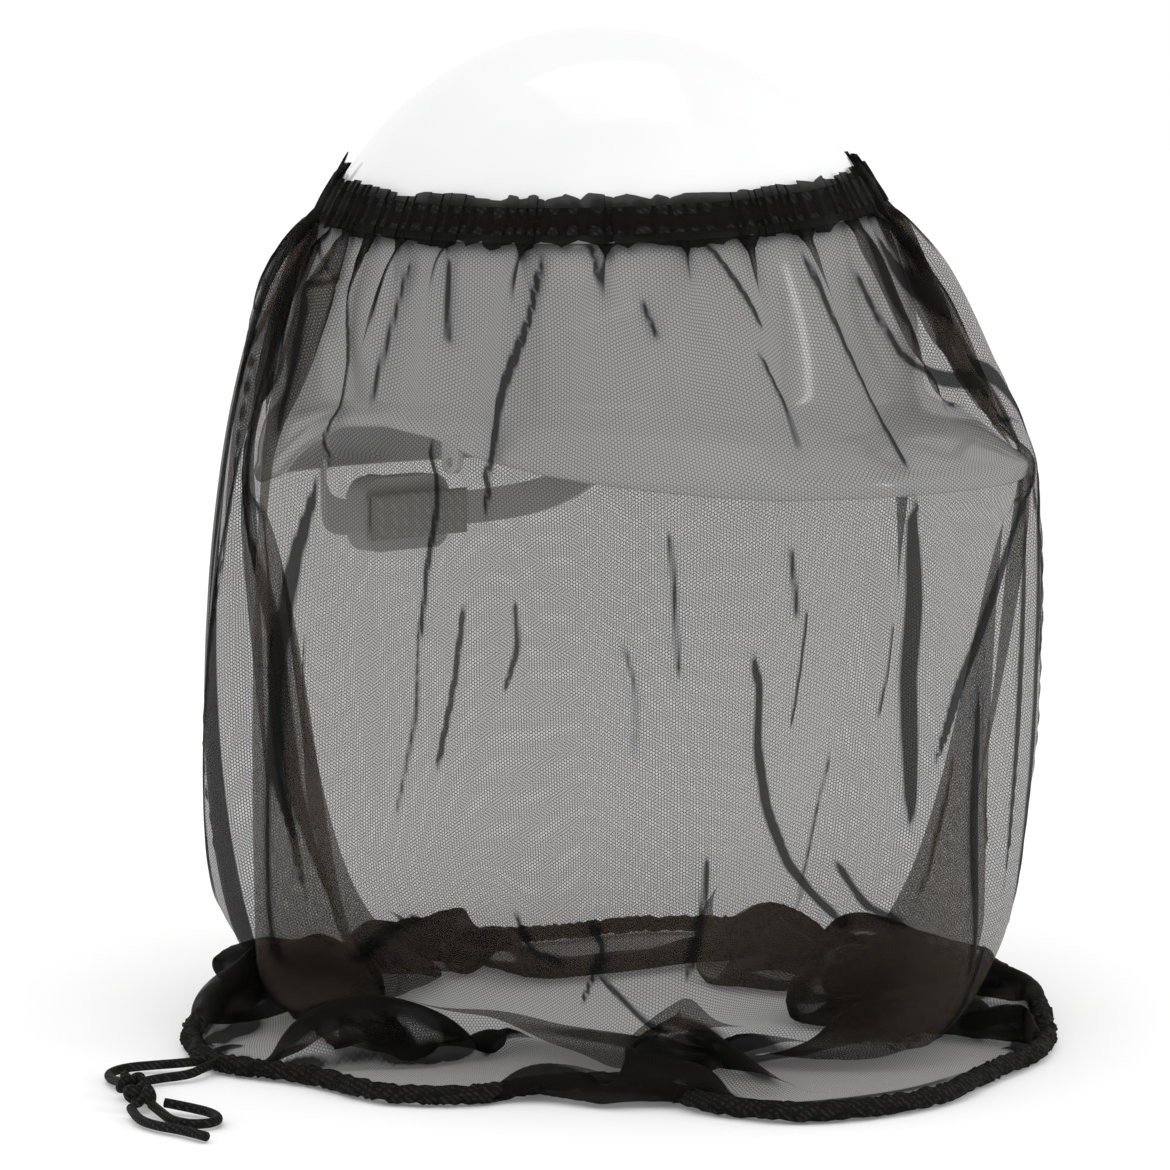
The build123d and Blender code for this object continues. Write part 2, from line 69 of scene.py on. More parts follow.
world = bpy.data.worlds.new("studio")
world.use_nodes = True
world.node_tree.nodes["Background"].inputs["Color"].default_value = (1.0, 1.0, 1.0, 1)
world.node_tree.nodes["Background"].inputs["Strength"].default_value = 1.0
scene.world = world


def area_light(name, place, aim, size, power):
    data = bpy.data.lights.new(name, "AREA")
    data.shape = "RECTANGLE"
    data.size, data.size_y = size
    data.energy = power
    light = bpy.data.objects.new(name, data)
    light.location = place
    light.rotation_mode = "QUATERNION"
    light.rotation_quaternion = (Vector(aim) - Vector(place)).to_track_quat("-Z", "Y")
    scene.collection.objects.link(light)


area_light("key", (-1.1, -0.5, 1.1), (0, 0, -0.05), (0.8, 0.8), 3.0)
area_light("strip", (0.45, -1.35, 0.35), (0, 0, 0.0), (0.10, 0.9), 3.5)
area_light("top", (0.2, 0.3, 1.5), (0, 0, 0), (0.9, 0.9), 1.5)


# ---- Materials -------------------------------------------------------------------------

def new_material(name, rough, coat=0.0, gloss=0.5):
    material = bpy.data.materials.new(name)
    material.use_nodes = True
    shader = material.node_tree.nodes["Principled BSDF"]
    shader.inputs["Roughness"].default_value = rough
    shader.inputs["Coat Weight"].default_value = coat
    shader.inputs["Specular IOR Level"].default_value = gloss
    return material, material.node_tree, shader


def node(tree, kind, **values):
    made = tree.nodes.new(kind)
    for key, value in values.items():
        setattr(made, key, value)
    return made


def noise(tree, scale, detail=4.0, rough=0.55, stretch=(1, 1, 1)):
    where = node(tree, "ShaderNodeTexCoord")
    mapping = node(tree, "ShaderNodeMapping")
    mapping.inputs["Scale"].default_value = stretch
    tree.links.new(where.outputs["Object"], mapping.inputs["Vector"])
    made = node(tree, "ShaderNodeTexNoise")
    made.inputs["Scale"].default_value = scale
    made.inputs["Detail"].default_value = detail
    made.inputs["Roughness"].default_value = rough
    tree.links.new(mapping.outputs["Vector"], made.inputs["Vector"])
    return made.outputs["Fac"]


def ramp(tree, value, low, high, start=0.35, end=0.65):
    made = node(tree, "ShaderNodeValToRGB")
    made.color_ramp.elements[0].position = start
    made.color_ramp.elements[1].position = end
    made.color_ramp.elements[0].color = (*low, 1)
    made.color_ramp.elements[1].color = (*high, 1)
    tree.links.new(value, made.inputs["Fac"])
    return made.outputs["Color"]


def spread(tree, value, low, high):
    made = node(tree, "ShaderNodeMapRange")
    made.inputs["To Min"].default_value = low
    made.inputs["To Max"].default_value = high
    tree.links.new(value, made.inputs["Value"])
    return made.outputs["Result"]


def bump(tree, shader, height, strength, distance):
    made = node(tree, "ShaderNodeBump")
    made.inputs["Strength"].default_value = strength
    made.inputs["Distance"].default_value = distance
    tree.links.new(height, made.inputs["Height"])
    tree.links.new(made.outputs["Normal"], shader.inputs["Normal"])


def plastic(name, low, high, rough, grain, coat=0.0):
    """Moulded plastic: slow colour change, scuffs in the gloss, fine grain."""
    material, tree, shader = new_material(name, rough, coat=coat)
    tree.links.new(ramp(tree, noise(tree, 9.0), low, high), shader.inputs["Base Color"])
    scuff = noise(tree, 70.0, 8.0, 0.7)
    tree.links.new(spread(tree, scuff, rough * 0.7, rough * 1.4), shader.inputs["Roughness"])
    bump(tree, shader, noise(tree, grain, 2.0), 0.06, 0.0003)
    return material


def woven(name, low, high, pitch, rough=0.85, depth=0.0004, gloss=0.1):
    """Woven or foam-backed cloth: two crossed waves with fuzz."""
    material, tree, shader = new_material(name, rough, gloss=gloss)
    where = node(tree, "ShaderNodeTexCoord")
    waves = []
    for angle in (0.6, -0.7):
        mapping = node(tree, "ShaderNodeMapping")
        mapping.inputs["Rotation"].default_value = (angle, angle, angle)
        tree.links.new(where.outputs["Object"], mapping.inputs["Vector"])
        wave = node(tree, "ShaderNodeTexWave")
        wave.inputs["Scale"].default_value = 1.0 / pitch / 6.28
        wave.inputs["Distortion"].default_value = 0.6
        tree.links.new(mapping.outputs["Vector"], wave.inputs["Vector"])
        waves.append(wave.outputs["Fac"])
    both = node(tree, "ShaderNodeMath", operation="MULTIPLY")
    tree.links.new(waves[0], both.inputs[0])
    tree.links.new(waves[1], both.inputs[1])
    tree.links.new(
        ramp(tree, both.outputs["Value"], low, high, 0.1, 0.8), shader.inputs["Base Color"]
    )
    bump(tree, shader, both.outputs["Value"], 0.6, depth)
    return material


HOLE_PITCH = 1.0


def net_material(name, solid):
    """Tulle: dark threads round holes 1 mm apart, denser in the creases, which painted shade also darkens.
    """
    material, tree, shader = new_material(name, 0.7, gloss=0.06)
    # single threads brown, creases and pinched folds darkened to black by painted shade
    crease_and_shade = node(tree, "ShaderNodeAttribute", attribute_name="crease_and_shade")
    shade = node(tree, "ShaderNodeMath", operation="MULTIPLY_ADD")
    tree.links.new(noise(tree, 30.0), shade.inputs[0])
    shade.inputs[1].default_value = 0.35
    tree.links.new(crease_and_shade.outputs["Fac"], shade.inputs[2])
    tree.links.new(
        ramp(tree, shade.outputs["Value"], (0.046, 0.035, 0.026), (0.004, 0.0037, 0.0032), 0.12, 0.50),
        shader.inputs["Base Color"],
    )
    place = node(tree, "ShaderNodeAttribute", attribute_name="flat")
    total = None
    for turn in (0.0, 60.0, 120.0):
        angle = math.radians(turn)
        dot = node(tree, "ShaderNodeVectorMath", operation="DOT_PRODUCT")
        rate = 2 * math.pi / HOLE_PITCH
        dot.inputs[1].default_value = (rate * math.cos(angle), rate * math.sin(angle), 0)
        tree.links.new(place.outputs["Vector"], dot.inputs[0])
        wave = node(tree, "ShaderNodeMath", operation="COSINE")
        tree.links.new(dot.outputs["Value"], wave.inputs[0])
        if total is None:
            total = wave.outputs["Value"]
        else:
            plus = node(tree, "ShaderNodeMath", operation="ADD")
            tree.links.new(total, plus.inputs[0])
            tree.links.new(wave.outputs["Value"], plus.inputs[1])
            total = plus.outputs["Value"]
    thread = node(tree, "ShaderNodeMapRange")
    thread.inputs["From Min"].default_value = -0.30
    thread.inputs["From Max"].default_value = -0.90
    thread.inputs["To Min"].default_value = solid
    thread.inputs["To Max"].default_value = 0.72
    tree.links.new(total, thread.inputs["Value"])
    alpha = node(tree, "ShaderNodeMath", operation="MAXIMUM")
    tree.links.new(thread.outputs["Result"], alpha.inputs[0])
    closed = node(tree, "ShaderNodeMapRange")
    closed.inputs["From Min"].default_value = 0.22
    closed.inputs["From Max"].default_value = 0.62
    closed.inputs["To Max"].default_value = 0.93
    tree.links.new(crease_and_shade.outputs["Fac"], closed.inputs["Value"])
    tree.links.new(closed.outputs["Result"], alpha.inputs[1])
    tree.links.new(alpha.outputs["Value"], shader.inputs["Alpha"])
    bump(tree, shader, total, 0.3, 0.0002)
    return material


hat_white = plastic("hat_white", (0.77, 0.77, 0.775), (0.82, 0.82, 0.82), 0.16, 900.0, 0.5)
harness_white = plastic("harness_white", (0.76, 0.76, 0.75), (0.82, 0.82, 0.81), 0.42, 700.0)
knob_grey = plastic("knob_grey", (0.42, 0.42, 0.41), (0.52, 0.52, 0.50), 0.38, 800.0)
webbing_grey = woven("webbing_grey", (0.10, 0.10, 0.10), (0.24, 0.24, 0.23), 0.0011)
foam_grey = woven("foam_grey", (0.55, 0.55, 0.54), (0.68, 0.68, 0.66), 0.0016, depth=0.0003)
foam_dark = woven("foam_dark", (0.02, 0.02, 0.022), (0.06, 0.06, 0.062), 0.0016, depth=0.0003)
elastic_black = woven("elastic_black", (0.006, 0.006, 0.006), (0.02, 0.02, 0.02), 0.0008)
cord_black = woven("cord_black", (0.004, 0.004, 0.004), (0.022, 0.021, 0.019), 0.0007, 0.7)
hem_black = woven("hem_black", (0.004, 0.004, 0.0035), (0.018, 0.017, 0.015), 0.0008, 0.8)
net_black = net_material("net_black", 0.30)
net_gathered = net_material("net_gathered", 0.55)

floor_material, floor_tree, floor_shader = new_material("floor", 0.9)
floor_tree.links.new(
    ramp(floor_tree, noise(floor_tree, 3.0), (0.93, 0.93, 0.93), (0.95, 0.95, 0.95)),
    floor_shader.inputs["Base Color"],
)
floor_shader.inputs["Specular IOR Level"].default_value = 0.0
floor_shader.inputs["Emission Color"].default_value = (1.0, 1.0, 1.0, 1)
floor_shader.inputs["Emission Strength"].default_value = 0.09
bpy.ops.mesh.primitive_plane_add(size=30, location=(0, 0, (TABLE - 0.3) * MM))
floor = bpy.context.object
floor.name = "floor"
floor.data.materials.append(floor_material)


# ---- Cords -----------------------------------------------------------------------------

def tube_curve(name, routes, radius, material, cyclic=False):
    """Round tubes along smooth lines through the routes' control points, in millimetres."""
    data = bpy.data.curves.new(name, "CURVE")
    data.dimensions = "3D"
    data.resolution_u = 10
    data.bevel_depth = radius * MM
    data.bevel_resolution = 5
    data.use_fill_caps = True
    for route in routes:
        spline = data.splines.new("NURBS")
        spline.points.add(len(route) - 1)
        for point, place in zip(spline.points, route):
            point.co = (place[0] * MM, place[1] * MM, place[2] * MM, 1)
        spline.order_u = 3
        spline.use_endpoint_u = not cyclic
        spline.use_cyclic_u = cyclic
    data.materials.append(material)
    made = bpy.data.objects.new(name, data)
    scene.collection.objects.link(made)
    return made


CORD_DIAMETER = 3.0
CORD_Z = TABLE + CORD_DIAMETER / 2 + 0.4
HEM_Z = TABLE + 3.6
STRAND_UPPER = (
    (-156.6, 20.8, HEM_Z), (-163.6, 23.4, CORD_Z + 1.4), (-170.2, 30.5, CORD_Z + 0.6),
    (-178.5, 37.0, CORD_Z), (-188.5, 34.0, CORD_Z), (-193.5, 24.5, CORD_Z),
    (-196.5, 16.5, CORD_Z + 1.5),
)
STRAND_LOWER = (
    (-156.8, 16.2, HEM_Z), (-164.5, 14.8, CORD_Z + 1.2), (-171.5, 13.0, CORD_Z + 0.4),
    (-180.0, 17.0, CORD_Z), (-187.0, 17.5, CORD_Z), (-193.8, 11.5, CORD_Z + 1.2),
)
TAIL_LOOP = (
    (-205.0, -15.0, CORD_Z + 1.5), (-200.5, -22.5, CORD_Z + 0.4), (-199.5, -32.5, CORD_Z),
    (-205.0, -41.0, CORD_Z), (-213.0, -39.5, CORD_Z), (-214.8, -30.0, CORD_Z),
    (-211.5, -21.5, CORD_Z + 0.4), (-209.5, -14.0, CORD_Z + 1.5),
)
TAIL_END = (
    (-215.5, -11.5, CORD_Z + 1.0), (-220.5, -20.0, CORD_Z), (-222.5, -31.0, CORD_Z),
    (-220.0, -42.0, CORD_Z), (-220.5, -53.0, CORD_Z),
)


def trefoil(x, y, z, size, turn, flat=0.75):
    """Closed line of an overhand knot drawn tight."""
    points = []
    for step in range(24):
        t = 2 * math.pi * step / 24
        a = math.sin(t) + 2 * math.sin(2 * t)
        b = math.cos(t) - 2 * math.cos(2 * t)
        c, s = math.cos(turn), math.sin(turn)
        points.append((
            x + size * (a * c - b * s), y + size * (a * s + b * c),
            z - flat * 2.0 * size * math.sin(3 * t),
        ))
    return points


knot = tube_curve(
    "knot_upper",
    [trefoil(-199.2, 8.8, TABLE + 4.9, 1.28, 0.5)],
    1.45, cord_black, cyclic=True,
)
knot_lower = tube_curve(
    "knot_lower",
    [trefoil(-208.4, -7.4, TABLE + 5.2, 1.42, 1.6)],
    1.45, cord_black, cyclic=True,
)
knot_link = tube_curve(
    "knot_link",
    [
        [(-201.0, 5.5, CORD_Z + 2), (-205.0, 2.0, CORD_Z + 1.2), (-205.5, -3.5, CORD_Z + 2)],
        [(-198.6, 4.2, CORD_Z + 1), (-200.6, -1.0, CORD_Z), (-204.5, -7.5, CORD_Z + 1)],
    ],
    1.45, cord_black,
)
for piece in (knot, knot_lower, knot_link):
    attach(piece, "veil")
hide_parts("cord_knot")

for cad_name, route, far_end in (
    ("cord_strand_upper", STRAND_UPPER, "knot"),
    ("cord_strand_lower", STRAND_LOWER, "knot"),
    ("cord_tail_loop", TAIL_LOOP, "knot"),
    ("cord_tail_end", TAIL_END, "bare"),
):
    piece = tube_curve(cad_name.replace("cord_", "drawcord_"), [route], CORD_DIAMETER / 2, cord_black)
    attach(piece, "veil")
    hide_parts(cad_name)


def mesh_piece(name, vertices, faces, material, smooth=True):
    """Mesh from points in millimetres."""
    data = bpy.data.meshes.new(name)
    data.from_pydata([tuple(p) for p in (np.asarray(vertices) * MM)], [], faces)
    data.materials.append(material)
    if smooth:
        data.shade_smooth()
    made = bpy.data.objects.new(name, data)
    scene.collection.objects.link(made)
    return made


def grid_faces(rows, cols, wrap):
    """Quads of a grid of points, closed round the columns where it wraps."""
    last = cols if wrap else cols - 1
    return [
        (r * cols + c, r * cols + (c + 1) % cols, (r + 1) * cols + (c + 1) % cols, (r + 1) * cols + c)
        for r in range(rows - 1) for c in range(last)
    ]


def cloth_layers(piece, flat, crease_and_shade):
    """What the net's material reads: place on the flat cloth in mm, how closed it is, and how dark its
    painted shade is.
    """
    layer = piece.data.attributes.new("flat", "FLOAT_VECTOR", "POINT")
    layer.data.foreach_set("vector", flat.astype(np.float32).ravel())
    layer = piece.data.attributes.new("crease_and_shade", "FLOAT", "POINT")
    layer.data.foreach_set("value", crease_and_shade.astype(np.float32).ravel())


# ---- The net's drape -------------------------------------------------------------------

DOME = (98.0, 115.0, 120.0)
DOME_Z = -16.0
# The brim's flare: height, half-width, reach to the front, reach to the rear
RINGS = (
    (-14.0, 98.0, 115.0, 115.0), (-24.0, 107.0, 131.0, 118.5),
    (-37.0, 111.5, 154.5, 120.5), (-56.0, 112.0, 155.0, 121.0),
)
# The brim's lower edge: y, z
EDGE = (
    (-175.0, -41.5), (-135.0, -41.5), (-105.0, -38.5), (-75.0, -35.0), (-50.0, -31.0),
    (-30.0, -25.5), (-8.0, -23.0), (14.0, -24.2), (32.0, -31.5), (50.0, -43.0),
    (72.0, -47.0), (100.0, -48.5), (140.0, -50.0),
)
SQUARE = 0.9
# The hem's line on the table: x, y
HEM = (
    (-160, 19), (-149, -18), (-150, -54), (-130, -74), (-101, -80), (-83, -104), (-88, -140),
    (-76, -172), (-34, -184), (8, -170), (46, -158), (82, -128), (112, -98), (136, -62),
    (146, -20), (134, 18), (134, 54), (108, 84), (70, 96), (36, 120), (-10, 118), (-50, 102),
    (-84, 96), (-112, 76), (-142, 50),
)
# The net: its grid, and its flat size round and down
COLS, ROWS = 264, 92
ROUND, LONG = 1060.0, 392.0
# The direction that has the fewest gathers
NEAR = math.radians(228.0)
# The drape: forces in mm and seconds, and the outline that the bunched cloth keeps to
STEP, GRAVITY, DAMPING, STAND_OUT, TOP_SPEED = 1.0e-3, 9810, 5.0, 2600.0, 900
LAYER_GAP = 3.9
MID_ACROSS, MID_DEEP, HALF_ACROSS, HALF_DEEP = 7, -8, 141, 132
# The nape knob's height, and the room the net leaves behind it
KNOB_Z, KNOB_ROOM, KNOB_FROM, KNOB_REACH = -66, 30, 90, 39


def crown_reach(z, half):
    """Half-size of the dome at a height."""
    return half * np.sqrt(np.clip(1 - ((z - DOME_Z) / DOME[2]) ** 2, 0, 1))


# The heading leans: its planes fall towards one direction
HEADING_LOW, HEADING_TALL, HEADING_TILT = 44.7, 13.5, math.tan(math.radians(6.2))
LEAN_TOWARDS = math.radians(203.0)


def heading_low(angle, rise=0.0):
    """Height of the gathered heading's lower edge round the dome, or of a line above it."""
    z = HEADING_LOW + rise
    for _ in range(12):
        along = (
            crown_reach(z, DOME[0]) * np.cos(angle) * math.cos(LEAN_TOWARDS)
            + crown_reach(z, DOME[1]) * np.sin(angle) * math.sin(LEAN_TOWARDS)
        )
        z = HEADING_LOW + rise - HEADING_TILT * along
    return z


def brim_norm(x, y, z, grow):
    zz = [-r[0] for r in RINGS]
    s = np.interp(-z, zz, [r[1] for r in RINGS]) + grow
    f = np.interp(-z, zz, [r[2] for r in RINGS]) + grow
    b = np.interp(-z, zz, [r[3] for r in RINGS]) + grow
    q = np.where(y < 0, SQUARE, 1.0)
    r = np.where(y < 0, f, b)
    return (np.abs(x / s) ** (2 / q) + np.abs(y / r) ** (2 / q)) ** (q / 2)


def closed_spline(points, count):
    """Points on a closed Catmull-Rom curve, 40 to each span at even steps of the curve's parameter."""
    p = np.array(points, float)
    n = len(p)
    t = np.linspace(0, 1, 40, endpoint=False)[:, None]
    out = []
    for i in range(n):
        a, b, c, d = p[i - 1], p[i], p[(i + 1) % n], p[(i + 2) % n]
        square, cube = 2 * a - 5 * b + 4 * c - d, 3 * b - a - 3 * c + d
        out.append(0.5 * (2 * b + (c - a) * t + square * t ** 2 + cube * t ** 3))
    return np.vstack(out)


# Half of the 27 cells round one: with the other half the pairs would come twice
CELLS = (
    (0, 0, 0), (1, 0, 0), (-1, 1, 0), (0, 1, 0), (1, 1, 0), (-1, -1, 1), (0, -1, 1), (1, -1, 1),
    (-1, 0, 1), (0, 0, 1), (1, 0, 1), (-1, 1, 1), (0, 1, 1), (1, 1, 1),
)


def drape(cols=COLS, rows=ROWS, steps=900, seed=7):
    """Cloth simulation of the net: hung from the elastic, over the brim, down to the hem."""
    rng = np.random.default_rng(seed)
    du, dv = ROUND / cols, LONG / (rows - 1)
    # --- where the columns sit round the hat: gathers are few towards the viewer's side
    phi = np.linspace(0, 2 * math.pi, 1441)[:-1]
    away = np.abs((phi - NEAR + math.pi) % (2 * math.pi) - math.pi)
    side_on = np.exp(-(((away - 1.5) / 0.52) ** 2) ** 1.5)
    gather = 1.38 + 1.25 * side_on + 0.15 * np.clip(away - 2.0, 0, 1)
    gather *= 1 + 0.25 * np.sin(6 * phi + 1.3) * side_on
    ring = np.stack([85.0 * np.cos(phi), 99.5 * np.sin(phi)], 1)
    step = np.linalg.norm(np.roll(ring, -1, 0) - ring, axis=1)
    share = np.cumsum(step * gather)
    share = np.concatenate([[0], share]) / share[-1]
    at = np.interp(np.arange(cols) / cols, share, np.arange(len(phi) + 1))
    col_phi = np.interp(at, np.arange(len(phi) + 1), np.append(phi, 2 * math.pi))
    # pleats: groups of columns folded back over their neighbours at the elastic
    shift = np.zeros(cols)
    lift = np.zeros(cols)
    j = 0
    while j < cols:
        d = abs((col_phi[j] - NEAR + math.pi) % (2 * math.pi) - math.pi)
        gap = rng.integers(3, 7) if d < 0.9 else rng.integers(2, 6)
        size = 4
        if j + gap + size >= cols:
            break
        k = j + gap
        width = rng.uniform(2.4, 6.0)
        shift[k:k + size] = np.array([0.45, 1.0, -1.0, -0.45]) * width
        lift[k:k + size] = np.array([0.3, 1.6, -0.2, 0.2]) * rng.uniform(0.8, 1.5)
        j = k + size
    ang = col_phi + shift / 92.0
    top_z = heading_low(ang)
    top = np.stack([
        (crown_reach(top_z, DOME[0]) + 2.0 + lift) * np.cos(ang),
        (crown_reach(top_z, DOME[1]) + 2.0 + lift) * np.sin(ang),
        top_z,
    ], 1)
    # --- the hem on the table, columns spread along it by their direction
    hem = closed_spline(HEM, cols)
    ha = np.unwrap(np.arctan2(hem[:, 1], hem[:, 0]))
    if ha[-1] < ha[0]:
        hem, ha = hem[::-1], ha[::-1]
    seg = np.linalg.norm(np.roll(hem, -1, 0) - hem, axis=1)
    along = np.concatenate([[0], np.cumsum(seg)])
    total = along[-1]
    hem_c = np.vstack([hem, hem[:1]])
    # start the run where the direction equals the first column's
    hem_turn = np.arctan2(hem[:, 1], hem[:, 0]) - col_phi[0]
    first = np.argmin(np.abs((hem_turn + math.pi) % (2 * math.pi) - math.pi))
    target = along[first] + np.arange(cols) / cols * total
    # mix even spacing with spacing by direction so that the folds hang straight
    dirs = np.mod(np.arctan2(hem[:, 1], hem[:, 0]), 2 * math.pi)
    order = np.argsort(dirs)
    by_dir = np.interp(np.mod(col_phi, 2 * math.pi), dirs[order], along[:-1][order], period=2 * math.pi)
    by_dir = np.unwrap(by_dir * 2 * math.pi / total) * total / (2 * math.pi)
    target = target - np.mean(target - by_dir)
    mix = 0.5 * target + 0.5 * by_dir
    mix = np.mod(mix, total)
    hx = np.interp(mix, along, hem_c[:, 0])
    hy = np.interp(mix, along, hem_c[:, 1])
    low = np.stack([hx, hy, np.full(cols, TABLE + 3.2)], 1)
    # --- first shape: over the brim, then down with waves that take up the spare length
    X = np.zeros((rows, cols, 3))
    v = np.linspace(0, 1, rows)
    ca, sa = np.cos(col_phi), np.sin(col_phi)
    for c in range(cols):
        cx, cy = ca[c], sa[c]
        nb = brim_norm(np.array([cx]), np.array([cy]), np.array([-37.0]), 0.0)[0]
        rb = 1 / nb + 7
        rt = math.hypot(top[c, 0], top[c, 1])
        rh = math.hypot(low[c, 0], low[c, 1])
        prof = [(rt, top[c, 2]), (rt * 0.55 + rb * 0.45 + 3, 12.0), (rb, -30.0), (rb + 2, -70.0)]
        n = 60
        tt = np.linspace(0, 1, n)[1:]
        ph = 1.2 * math.sin(3 * col_phi[c]) + 0.7 * math.sin(7 * col_phi[c] + 2)
        facing = abs((col_phi[c] - NEAR + math.pi) % (2 * math.pi) - math.pi)
        amp = (10 if facing < 0.9 else 24) + 6 * math.sin(4 * col_phi[c] + 1)
        for t in tt:
            z = -70 - 156.8 * t
            wave = math.sin(3.5 * math.pi * t ** 1.5 + ph * t) - 0.15 * t
            r = (rb + 2) * (1 - t) + rh * t + amp * wave * math.sin(math.pi * min(t * 1.02, 1)) ** 0.7
            prof.append((r, z))
        prof = np.array(prof)
        d = np.concatenate([[0], np.cumsum(np.linalg.norm(np.diff(prof, axis=0), axis=1))])
        s = v * d[-1]
        r, z = np.interp(s, d, prof[:, 0]), np.interp(s, d, prof[:, 1])
        w = v ** 1.3
        hd = math.atan2(low[c, 1], low[c, 0])
        dd = (hd - col_phi[c] + math.pi) % (2 * math.pi) - math.pi
        a = col_phi[c] + dd * w + shift[c] / 92.0 * (1 - v) ** 2
        X[:, c, 0], X[:, c, 1], X[:, c, 2] = r * np.cos(a) * 1.0, r * np.sin(a), z
    X[0], X[-1] = top, low
    noise = rng.normal(0, 1, (rows // 6 + 2, cols // 6, 3))
    ii = np.linspace(0, noise.shape[0] - 1.001, rows)
    i0 = ii.astype(int)
    fi = (ii - i0)[:, None, None]
    jj = np.linspace(0, noise.shape[1], cols, endpoint=False)
    j0 = jj.astype(int)
    fj = (jj - j0)[None, :, None]
    J1 = (j0 + 1) % noise.shape[1]
    left_side = noise[i0][:, j0] * (1 - fi) + noise[i0 + 1][:, j0] * fi
    right_side = noise[i0][:, J1] * (1 - fi) + noise[i0 + 1][:, J1] * fi
    smooth = left_side * (1 - fj) + right_side * fj
    X[3:-1] += 2.2 * smooth[3:-1] * np.array([1, 1, 0.3])
    V = np.zeros_like(X)
    dt = STEP
    edge_y = [e[0] for e in EDGE]
    edge_z = [e[1] for e in EDGE]

    def stretch_cols(X, rest, k, parity):
        a = X[:, parity::2]
        b = np.roll(X, -1, 1)[:, parity::2]
        d = b - a
        l = np.sqrt((d * d).sum(-1, keepdims=True)) + 1e-9
        m = k * 0.5 * (l - rest) / l * d
        X[:, parity::2] += m
        nxt = (np.arange(cols)[parity::2] + 1) % cols
        X[:, nxt] -= m

    def stretch_rows(X, rest, k, parity):
        idx = np.arange(parity, X.shape[0] - 1, 2)
        d = X[idx + 1] - X[idx]
        l = np.sqrt((d * d).sum(-1, keepdims=True)) + 1e-9
        m = k * 0.5 * (l - rest) / l * d
        X[idx] += m
        X[idx + 1] -= m

    diag = math.hypot(du, dv)

    def soft_links(X, k_shear, k_bend):
        move = np.zeros_like(X)
        right = np.roll(X, -1, 1)
        d = right[1:] - X[:-1]
        l = np.sqrt((d * d).sum(-1, keepdims=True)) + 1e-9
        m = k_shear * 0.5 * (l - diag) / l * d
        move[:-1] += m
        move[1:] -= np.roll(m, 1, 1)
        d = X[1:] - right[:-1]
        l = np.sqrt((d * d).sum(-1, keepdims=True)) + 1e-9
        m = k_shear * 0.5 * (l - diag) / l * d
        move[:-1] += np.roll(m, 1, 1)
        move[1:] -= m
        # bending: pull each point a little to the middle of its neighbours
        mid = 0.5 * (right + np.roll(X, 1, 1)) - X
        move += k_bend * 0.5 * mid
        move -= k_bend * 0.25 * (np.roll(mid, 1, 1) + np.roll(mid, -1, 1))
        mid = np.zeros_like(X)
        mid[1:-1] = 0.5 * (X[2:] + X[:-2]) - X[1:-1]
        move += k_bend * 0.5 * mid
        move[:-1] -= k_bend * 0.25 * mid[1:]
        move[1:] -= k_bend * 0.25 * mid[:-1]
        X += move

    near_pairs = [np.zeros(0, int), np.zeros(0, int)]

    def find_pairs(X, size):
        P = X.reshape(-1, 3)
        pick = np.nonzero(P[:, 2] < 15)[0]
        Q = np.floor((P[pick] + 400) / size).astype(np.int64)
        key = (Q[:, 0] * 4096 + Q[:, 1]) * 4096 + Q[:, 2]
        order = np.argsort(key, kind="stable")
        ks, ids = key[order], pick[order]
        A, B = [], []
        for dx, dy, dz in CELLS:
            want = ks + (dx * 4096 + dy) * 4096 + dz
            if (dx, dy, dz) == (0, 0, 0):
                start = np.arange(len(ks)) + 1
            else:
                start = np.searchsorted(ks, want)
            for extra in range(4):
                t = start + extra
                ok = t < len(ks)
                ok[ok] = ks[t[ok]] == want[ok]
                A.append(ids[ok])
                B.append(ids[t[ok]])
        A, B = np.concatenate(A), np.concatenate(B)
        ra, rb_ = A // cols, B // cols
        ca_, cb = A % cols, B % cols
        dc = np.abs(ca_ - cb)
        dc = np.minimum(dc, cols - dc)
        far = (np.abs(ra - rb_) > 2) | (dc > 2)
        A, B = A[far], B[far]
        d = P[A] - P[B]
        close = (d * d).sum(1) < size * size
        near_pairs[0], near_pairs[1] = A[close], B[close]

    for s in range(steps):
        prev = X.copy()
        V[..., 2] -= GRAVITY * dt
        V *= 1 - DAMPING * dt
        # the stiff net stands out a little from its own axis
        stand = STAND_OUT * dt * ((X[..., 2] < -55) & (X[..., 2] > -212))
        reach = np.hypot(X[..., 0], X[..., 1]) + 1e-6
        V[..., 0] += stand * X[..., 0] / reach
        V[..., 1] += stand * X[..., 1] / reach
        speed = np.sqrt((V * V).sum(-1, keepdims=True))
        V *= np.minimum(1, TOP_SPEED / (speed + 1e-9))
        X = X + V * dt
        X[0], X[-1] = top, low
        for it in range(2):
            stretch_cols(X, du, 0.9, 0)
            stretch_rows(X, dv, 0.9, 0)
            stretch_cols(X, du, 0.9, 1)
            stretch_rows(X, dv, 0.9, 1)
        soft_links(X, 0.05, 0.22)
        X[0], X[-1] = top, low
        if s % 10 == 0:
            find_pairs(X, LAYER_GAP)
        A, B = near_pairs
        if len(A):
            P = X.reshape(-1, 3)
            d = P[A] - P[B]
            l = np.sqrt((d * d).sum(1, keepdims=True)) + 1e-6
            m = 0.18 * np.clip(LAYER_GAP - l, 0, None) / l * d
            np.add.at(P, A, m)
            np.add.at(P, B, -m)
